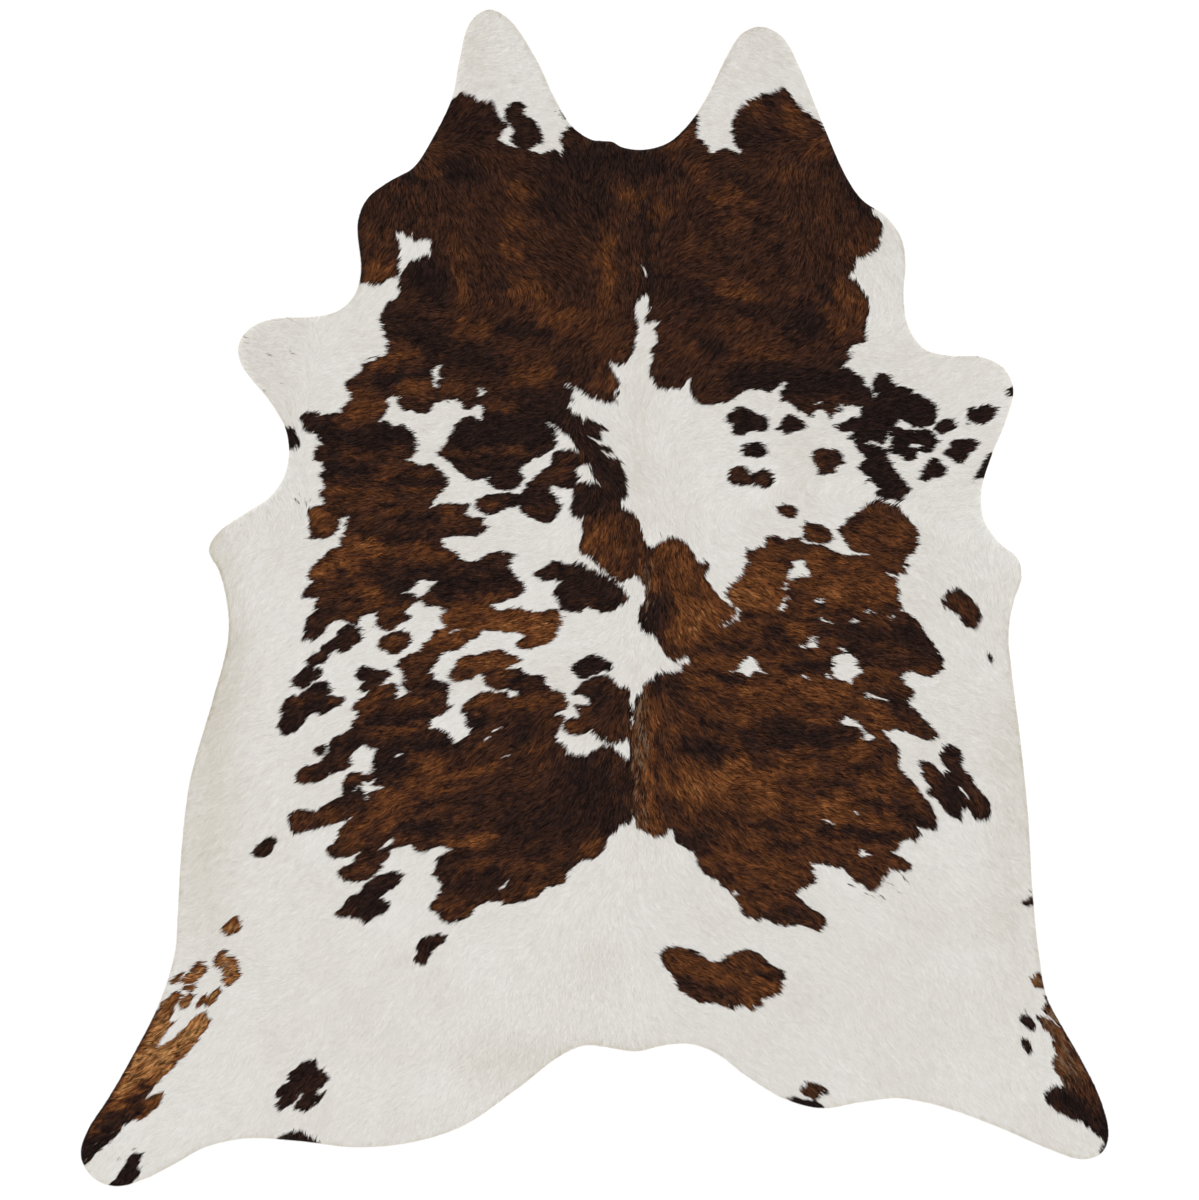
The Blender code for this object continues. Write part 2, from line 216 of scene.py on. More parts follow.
     "908,701 912,706 919,713 922,719 930,724 937,732 939,738 930,740 920,737 910,733 900,731 895,728 "
     "890,732 884,730 890,737 890,741 896,745 899,750 900,756 899,765 899,770 905,774 912,781 918,788 "
     "921,794 928,801 932,808 935,815 938,824 935,830 928,829 920,828 915,825 921,832 920,838 915,841 "
     "909,838 903,840 901,845 899,850 890,852 900,856 905,860 912,864 912,869 905,872 898,871 890,870 "
     "887,874 883,881 878,887 874,893 868,889 864,884 856,882 850,875 843,868 838,868 832,866 822,865 "
     "810,863 813,868 812,872 818,877 817,883 811,884 803,889 796,896 803,901 807,906 814,910 820,913 "
     "825,918 827,923 823,928 820,932 812,928 803,925 795,925 785,926 776,924 768,920 758,920 750,917 "
     "744,915 740,908 738,901 734,897 728,889 720,885 717,880 710,877 703,873 700,867 696,859 695,852 "
     "690,850 682,845 676,842 675,836 673,830 668,829 663,837 655,838 648,834 644,831 640,831 637,828 "
     "636,824 635,800 632,770 630,761 630,750 629,744 632,738 634,712 637,696 643,690 646,684 651,680 "
     "657,675 664,673 672,673 680,672 683,667 690,663 692,658 684,658 676,661 668,659 664,652 661,648 "
     "658,641 656,637 648,634 641,629 638,622 640,611 643,604 645,597 646,590 650,570"),
    ("round spot on the right flank", 0.44, 1.0,
     "838,530 845,524 848,519 855,515 858,511 866,506 874,502 880,500 889,504 898,506 903,512 907,516 "
     "911,522 916,528 919,532 917,539 918,545 913,552 910,556 905,562 880,562 868,556 857,552 851,550 "
     "847,546 844,540 842,536"),
    ("right elbow mass", 0.12, 1.0,
     "872,401 877,398 873,390 872,383 875,378 878,373 883,374 887,374 889,379 895,383 898,386 906,387 "
     "912,390 914,394 921,394 925,399 931,400 935,404 937,409 936,415 936,420 932,425 925,427 918,428 "
     "911,427 905,422 900,419 896,423 895,427 891,430 889,435 888,439 885,443 881,444 876,442 871,440 "
     "866,442 869,444 875,446 882,448 888,449 890,452 886,457 889,461 892,466 896,470 900,476 904,480 "
     "905,484 908,487 911,490 906,494 903,499 898,502 894,497 890,499 884,500 878,498 876,494 879,490 "
     "876,487 877,484 872,482 867,477 862,472 857,467 861,463 866,459 862,456 858,450 855,446 853,441 "
     "848,437 853,433 846,432 839,431 836,426 841,423 847,420 855,418 860,416 858,413 862,409 868,405"),
    ("right elbow pair", 0.12, 1.0,
     "889,450 891,443 890,438 891,431 893,429 896,427 900,427 903,428 906,430 911,430 914,431 920,430 "
     "927,430 931,432 934,434 936,438 938,441 937,445 935,448 933,451 929,453 925,453 921,451 917,449 "
     "919,446 914,445 914,448 918,451 917,456 915,459 911,461 906,461 903,460 902,457 899,456 895,454 "
     "891,453"),
    ("elbow spot 1", 0.12, 1.0,
     "933,428 936,424 939,421 944,420 948,418 952,419 955,423 957,426 954,429 949,431 944,434 941,434 "
     "938,432 935,430"),
    ("elbow spot 2", 0.14, 1.0,
     "966,409 972,407 978,408 984,406 994,406 995,410 992,417 989,421 984,425 977,424 970,420 967,415"),
    ("elbow spot 3", 0.14, 1.0,
     "943,452 947,450 950,447 949,444 953,440 958,440 963,439 972,440 980,444 977,449 971,452 967,457 "
     "962,463 954,464 951,459 947,456"),
    ("elbow spot 4", 0.14, 1.0,
     "918,480 920,475 923,469 926,465 930,460 934,458 940,460 940,464 944,466 947,470 945,474 943,477 "
     "938,478 934,478 931,480 926,481 922,480"),
    ("elbow edge", 0.1, 1.0,
     "992,453 983,460 981,467 979,473 973,480 980,478 985,480 1000,460"),
    ("shank edge", 0.16, 1.0,
     "1016,385 1005,391 1010,397 1016,398"),
    ("chest spot 1", 0.16, 1.0,
     "723,419 727,415 731,413 734,410 737,408 741,407 745,408 749,411 752,413 756,413 760,415 764,416 "
     "768,418 769,421 769,425 767,429 763,432 759,431 752,430 747,433 743,435 739,434 736,436 733,433 "
     "732,429 733,425 730,423 726,422"),
    ("chest spot 2", 0.16, 1.0,
     "779,427 781,423 784,418 786,415 791,414 795,417 799,419 803,421 806,426 803,430 798,431 794,432 "
     "791,433 786,434 782,432"),
    ("chest spot 3", 0.14, 1.0,
     "741,450 742,446 744,444 748,445 753,443 759,442 763,445 766,449 767,452 764,456 757,458 753,457 "
     "748,457 743,455"),
    ("chest spot 4", 0.34, 1.0,
     "727,479 728,474 731,470 735,467 740,467 745,468 749,471 752,475 753,480 750,484 747,486 741,485 "
     "735,485 731,484"),
    ("chest spot 5", 0.28, 1.0,
     "752,475 756,473 760,470 764,469 769,471 772,474 774,479 772,484 768,487 764,489 758,487 753,484"),
    ("chest spot 6", 0.34, 1.0,
     "811,454 814,452 818,451 820,449 824,449 828,450 832,450 836,450 838,452 840,456 842,459 845,463 "
     "842,465 838,465 836,468 836,472 832,474 827,473 823,475 818,474 817,470 815,467 813,463 812,458"),
    ("chest spot 7", 0.42, 0.9,
     "777,511 780,507 784,505 788,505 793,506 797,509 798,512 799,514 796,517 792,518 789,519 785,517 "
     "781,514"),
    ("chest spot 8", 0.46, 1.0,
     "803,531 804,526 808,523 813,524 820,525 826,528 831,531 834,535 836,536 834,540 831,543 824,544 "
     "815,543 810,541 806,539 804,536"),
    ("right flank oval", 0.36, 1.0,
     "940,598 946,599 946,592 952,590 958,589 964,593 969,597 974,603 979,610 982,617 980,624 974,629 "
     "967,628 960,621 961,616 954,612 947,608 942,603"),
    ("right flank dot", 0.16, 1.0,
     "989,653 992,657 992,663 989,660"),
    ("right cluster", 0.24, 1.0,
     "949,743 952,746 956,747 959,749 962,753 963,758 961,762 961,766 964,770 968,774 972,776 975,781 "
     "976,786 979,790 983,794 987,800 990,806 991,812 989,818 985,821 981,821 977,820 974,817 971,813 "
     "969,810 967,808 964,810 962,813 961,817 961,822 957,819 953,816 948,814 945,811 943,807 940,803 "
     "938,799 934,798 930,797 927,794 926,790 931,787 929,784 925,780 923,776 923,771 921,766 921,761 "
     "926,761 930,763 935,766 938,769 940,772 943,774 946,772 950,772 949,770 945,766 942,762 940,758 "
     "940,754 943,751 945,750 944,747 946,745"),
    ("bean", 0.5, 1.0,
     "661,953 666,948 674,946 683,948 692,950 699,953 704,957 709,961 715,963 722,960 730,955 740,951 "
     "748,950 757,952 764,957 770,964 777,968 784,971 785,976 782,981 784,988 783,992 776,994 770,997 "
     "764,1000 762,1005 757,1008 751,1010 745,1006 738,1005 733,1010 726,1007 720,1004 710,1003 "
     "700,1003 695,999 688,995 680,990 677,984 672,976 668,970 663,964"),
    ("spot below the left mass", 0.26, 1.0,
     "413,961 417,954 416,948 419,940 426,937 433,935 440,937 447,937 442,944 436,946 433,953 428,958 "
     "426,964 420,965"),
    ("left flank dot", 0.22, 1.0,
     "253,852 256,848 261,843 266,838 272,838 277,841 274,847 271,853 266,856 260,858 254,856"),
    ("left thigh 1", 0.84, 0.5,
     "222,929 223,926 226,923 230,920 233,917 235,915 237,918 240,923 240,928 238,932 234,934 230,935 "
     "226,936 223,933"),
    ("left thigh 2", 0.9, 0.4,
     "213,962 215,958 218,955 220,951 223,949 227,951 229,954 227,957 231,957 236,957 238,961 239,966 "
     "239,973 237,978 235,981 231,984 228,986 225,983 223,978 222,973 222,969 219,968 216,967 214,965"),
    ("left thigh 3", 0.92, 0.2,
     "170,981 173,977 177,975 180,973 184,973 182,977 179,981 175,984 171,983"),
    ("left thigh 4", 0.92, 0.2,
     "182,981 184,977 188,974 190,971 193,969 191,966 195,963 199,961 203,960 204,964 206,967 205,972 "
     "202,976 198,979 194,982 190,983 185,984"),
    ("left thigh 5", 0.92, 0.2,
     "183,989 185,986 189,985 193,984 196,985 195,989 191,991 186,991"),
    ("left thigh 6", 0.92, 0.2,
     "178,1005 180,1001 184,998 187,995 190,993 193,993 195,995 193,1000 190,1004 187,1007 182,1009 "
     "179,1008"),
    ("left thigh 7", 0.88, 0.4,
     "195,1007 197,1003 200,999 203,996 206,993 208,997 211,994 214,991 217,987 219,985 221,989 "
     "220,993 217,998 213,1003 209,1006 205,1005 201,1006 198,1008"),
    ("left hind leg", 0.86, 0.3,
     "150,1018 158,1009 162,1003 166,999 170,995 174,992 178,991 181,994 180,999 176,1004 173,1009 "
     "174,1014 170,1019 175,1023 168,1028 164,1034 160,1040 157,1049 165,1044 172,1040 180,1032 "
     "188,1026 194,1019 199,1014 205,1013 211,1020 208,1027 202,1034 198,1040 193,1047 186,1053 "
     "180,1060 176,1065 170,1071 163,1077 156,1084 150,1091 143,1101 150,1097 157,1093 165,1091 "
     "162,1099 158,1106 151,1112 145,1117 139,1120 133,1119 128,1123 121,1127 119,1133 113,1139 "
     "106,1145 100,1150 92,1158 83,1166 60,1170 70,1110 130,1000"),
    ("left hind end", 0.14, 0.8,
     "108,1185 113,1181 118,1176 121,1170 126,1163 131,1156 136,1152 143,1154 140,1160 138,1167 "
     "141,1170 139,1176 132,1183 122,1190"),
    ("left hem spot, upper", 0.2, 1.0,
     "274,1107 276,1103 279,1101 279,1098 276,1097 276,1094 278,1090 281,1087 284,1084 288,1083 "
     "290,1082 289,1079 289,1075 291,1072 295,1069 299,1066 302,1063 306,1062 311,1060 315,1061 "
     "318,1060 317,1063 319,1065 317,1069 320,1070 323,1069 325,1071 326,1073 328,1076 329,1078 "
     "328,1081 325,1083 321,1086 318,1089 315,1091 312,1093 306,1094 303,1092 299,1095 297,1098 "
     "295,1101 292,1104 288,1107 284,1109 282,1111 278,1109 276,1107"),
    ("left hem spot, lower", 0.2, 1.0,
     "304,1093 300,1097 298,1100 296,1103 294,1107 294,1109 297,1109 300,1108 303,1110 305,1111 "
     "310,1109 313,1107 316,1105 318,1103 320,1101 322,1098 324,1096 325,1092 323,1092 321,1094 "
     "318,1095 316,1093 313,1093 309,1091"),
    ("left hem edge", 0.14, 1.0,
     "275,1139 285,1136 288,1133 296,1132 303,1132 308,1135 313,1138 321,1143 300,1152"),
    ("right hind leg", 0.42, 0.8,
     "1036,1016 1043,1017 1050,1020 1057,1025 1066,1024 1090,1050 1125,1120 1118,1150 1101,1156 "
     "1100,1151 1104,1146 1104,1141 1100,1138 1096,1133 1092,1130 1087,1128 1084,1122 1080,1120 "
     "1075,1121 1068,1118 1062,1114 1056,1111 1050,1107 1046,1101 1045,1095 1049,1090 1055,1085 "
     "1062,1088 1064,1082 1059,1077 1055,1071 1053,1065 1053,1059 1058,1054 1056,1050 1051,1043 "
     "1054,1038 1048,1033 1042,1028 1040,1022"),
    ("right leg 1", 0.52, 0.4,
     "1043,1010 1046,1004 1054,1003 1066,1022 1060,1026 1055,1022 1049,1017"),
    ("right leg 2", 0.84, 0.3,
     "1031,978 1035,976 1040,975 1048,976 1048,989 1038,988 1033,984"),
    ("right leg 3", 0.24, 1.0,
     "1019,1020 1022,1015 1027,1014 1032,1018 1036,1027 1034,1031 1028,1028 1022,1024"),
    ("right leg 4", 0.24, 1.0,
     "1021,1040 1025,1038 1029,1041 1032,1048 1032,1054 1029,1056 1025,1050 1022,1047"),
    ("right flank edge", 0.3, 0.8,
     "1022,905 1025,900 1029,898 1036,896 1036,906 1027,906"),
    ("right hem spot", 0.42, 0.8,
     "800,1093 803,1087 808,1084 815,1082 820,1085 826,1088 828,1092 823,1094 820,1097 816,1100 "
     "812,1098 806,1096"),
    ("right hem edge", 0.1, 1.0,
     "789,1099 795,1096 801,1099 810,1100 818,1101 824,1105 823,1112 800,1115 792,1104"),
    ("left elbow edge", 0.1, 1.0,
     "285,427 290,427 296,430 297,435 300,440 300,446 295,449 289,452 278,440"),
]

# outlines of the white openings in them
WHITE_OPENINGS = [
    "396,235 399,232 404,235 409,237 414,240 418,242 424,240 431,240 432,243 430,249 432,254 432,258 "
    "426,256 420,258 416,262 411,262 405,268 402,273 400,280 399,272 399,262 398,256 400,250 399,243",
    "642,266 645,268 647,274 648,278 645,277 643,271",
    "432,371 436,366 443,363 440,368 438,374 440,379 436,381 438,388 436,391 433,386 434,380",
    "472,384 480,388 487,391 483,396 478,396 480,391",
    "546,423 554,426 560,432 568,435 574,443 577,451 565,450 555,452 554,449 556,438 553,429",
    "574,469 578,467 584,466 592,468 591,472 594,478 599,483 590,483 583,482 576,483 579,478 576,474",
    "398,594 404,592 410,590 414,585 418,580 422,579 428,581 436,581 437,583 431,586 429,590 424,595 "
    "420,599 416,598 413,593 405,594",
    "448,631 455,629 462,627 457,631 450,633",
    "392,694 397,692 399,688 402,685 404,688 407,692 413,692 407,694 402,697 399,699 396,696",
    "352,790 360,785 366,782 372,780 371,786 378,786 385,786 377,790 370,793 366,799 364,793 360,788",
    "393,757 399,753 402,756 398,758",
    "613,748 620,745 626,742 628,745 629,752 629,759 626,760 624,754 618,751",
    "631,690 629,706 634,700 637,693 643,688",
    "795,562 797,560 803,559 806,563 805,567 808,570 810,574 814,577 806,577 799,577 795,579 790,582 "
    "789,578 789,570 793,568",
    "777,610 784,603 788,605 785,610 780,611",
    "814,603 820,599 824,598 821,604",
    "852,621 856,617 859,622",
    "799,646 806,645 811,642 822,640 817,644 816,649 811,646 805,650",
    "741,661 745,658 750,655 755,657 757,662 760,666 760,670 764,671 756,671 752,673 748,677 743,673 "
    "737,672 732,671 738,669 741,666",
    "832,657 838,654 845,654 852,654 857,658 857,663 860,668 864,672 859,675 855,678 854,683 852,686 "
    "847,681 840,680 836,678 832,674 831,671 835,668 834,663",
    "865,699 866,694 872,693 880,697 889,701 880,700 872,698",
    "840,721 848,716 855,721 862,726 868,732 873,735 876,741 870,741 863,740 866,735 860,729 852,726 "
    "845,725",
    "880,730 886,734 891,739 896,736 893,731",
    "860,851 862,848 867,853 872,855 865,857 860,857",
]

# single strokes of hair: x and y of its two ends, width
WHITE_STROKES = [
    (726, 599, 734, 608, 2.4), (739, 609, 737, 620, 2.6), (738, 617, 721, 628, 2.6),
    (492, 731, 502, 727, 1.6), (487, 739, 493, 737, 1.4), (502, 758, 509, 756, 1.4),
    (502, 888, 509, 881, 2.4), (632, 716, 632, 726, 1.4), (785, 585, 790, 583, 2.0),
    (783, 590, 789, 588, 2.0), (784, 601, 789, 597, 2.6), (820, 618, 834, 625, 2.0),
    (841, 648, 846, 652, 1.6), (826, 820, 834, 825, 1.6), (855, 812, 857, 816, 1.6),
    (888, 573, 898, 578, 2.6), (896, 586, 900, 590, 1.6), (961, 789, 970, 800, 1.8),
    (866, 613, 872, 612, 1.8), (889, 618, 896, 616, 2.2), (804, 677, 808, 679, 2.4),
    (547, 423, 557, 430, 2.4), (565, 385, 574, 391, 2.2), (592, 481, 600, 484, 2.0),
    (604, 672, 589, 678, 1.8), (1044, 1014, 1060, 1026, 2.0), (604, 744, 613, 746, 2.2),
    (851, 622, 859, 620, 3.0), (832, 678, 825, 674, 2.0), (845, 717, 855, 721, 3.2),
    (880, 698, 890, 701, 1.8), (856, 553, 869, 555, 2.0), (806, 542, 821, 545, 2.0),
    (740, 671, 731, 672, 1.8), (757, 670, 765, 673, 1.6), (810, 641, 816, 636, 1.6),
    (328, 742, 325, 757, 2.2), (372, 751, 379, 748, 1.8), (365, 783, 352, 791, 1.6),
    (370, 784, 375, 779, 1.8), (368, 791, 365, 800, 2.4), (344, 822, 354, 817, 1.4),
    (392, 841, 382, 848, 4.2), (353, 857, 362, 851, 2.4), (443, 849, 451, 850, 3.0),
    (842, 403, 837, 410, 2.4), (820, 402, 815, 406, 1.6), (889, 438, 891, 428, 1.3),
    (912, 446, 920, 446, 3.4), (584, 419, 583, 426, 1.8), (599, 443, 591, 438, 2.6),
    (609, 456, 603, 451, 2.4), (575, 451, 580, 454, 2.0), (620, 388, 614, 394, 2.2),
    (374, 359, 366, 363, 3.0), (856, 278, 849, 282, 2.8), (737, 893, 731, 896, 2.6),
    (320, 650, 313, 654, 2.6), (382, 420, 377, 423, 2.4),
]
DARK_STROKES = [
    (269, 353, 273, 357, 1.4), (291, 351, 294, 354, 1.4), (246, 343, 248, 345, 1.4),
    (243, 335, 245, 337, 1.4), (280, 383, 283, 385, 1.4), (266, 390, 268, 392, 1.2),
    (295, 500, 299, 504, 1.4), (299, 495, 301, 497, 1.2), (305, 503, 309, 506, 1.4),
    (309, 499, 312, 501, 1.2), (1001, 367, 1003, 369, 1.4), (976, 355, 978, 357, 1.2),
    (118, 1159, 121, 1161, 1.2), (132, 1149, 134, 1151, 1.2), (1030, 892, 1032, 894, 1.4),
    (849, 885, 852, 886, 1.0), (866, 893, 870, 895, 1.2), (872, 896, 875, 898, 1.2),
    (890, 884, 893, 884, 1.0), (898, 891, 904, 893, 1.0), (882, 897, 886, 899, 1.2),
    (904, 880, 910, 883, 0.9), (900, 875, 904, 877, 0.9), (559, 111, 562, 116, 1.4),
    (563, 115, 567, 122, 1.6), (1045, 996, 1048, 1005, 2.4), (748, 483, 759, 486, 4.4),
    (808, 410, 812, 418, 4.0), (828, 410, 830, 419, 5.0), (840, 426, 833, 427, 4.0),
    (782, 428, 777, 429, 4.0), (872, 476, 865, 484, 4.4), (880, 487, 874, 499, 5.0),
    (895, 496, 897, 504, 6.0), (969, 415, 967, 424, 4.0), (922, 477, 917, 481, 3.0),
    (978, 472, 973, 482, 4.0), (949, 605, 942, 609, 4.0), (906, 556, 914, 553, 4.4),
    (903, 568, 909, 566, 4.0), (568, 398, 575, 404, 4.0), (613, 397, 617, 404, 3.0),
    (600, 427, 608, 431, 4.0), (606, 447, 613, 453, 4.0), (617, 459, 624, 464, 4.0),
    (414, 242, 421, 241, 2.6), (228, 951, 223, 956, 3.4), (303, 641, 311, 640, 2.8),
    (438, 934, 432, 938, 3.4), (694, 951, 701, 953, 2.8), (374, 770, 368, 775, 3.4),
    (441, 893, 435, 895, 3.0), (852, 419, 842, 422, 3.2), (820, 408, 828, 413, 4.0),
]

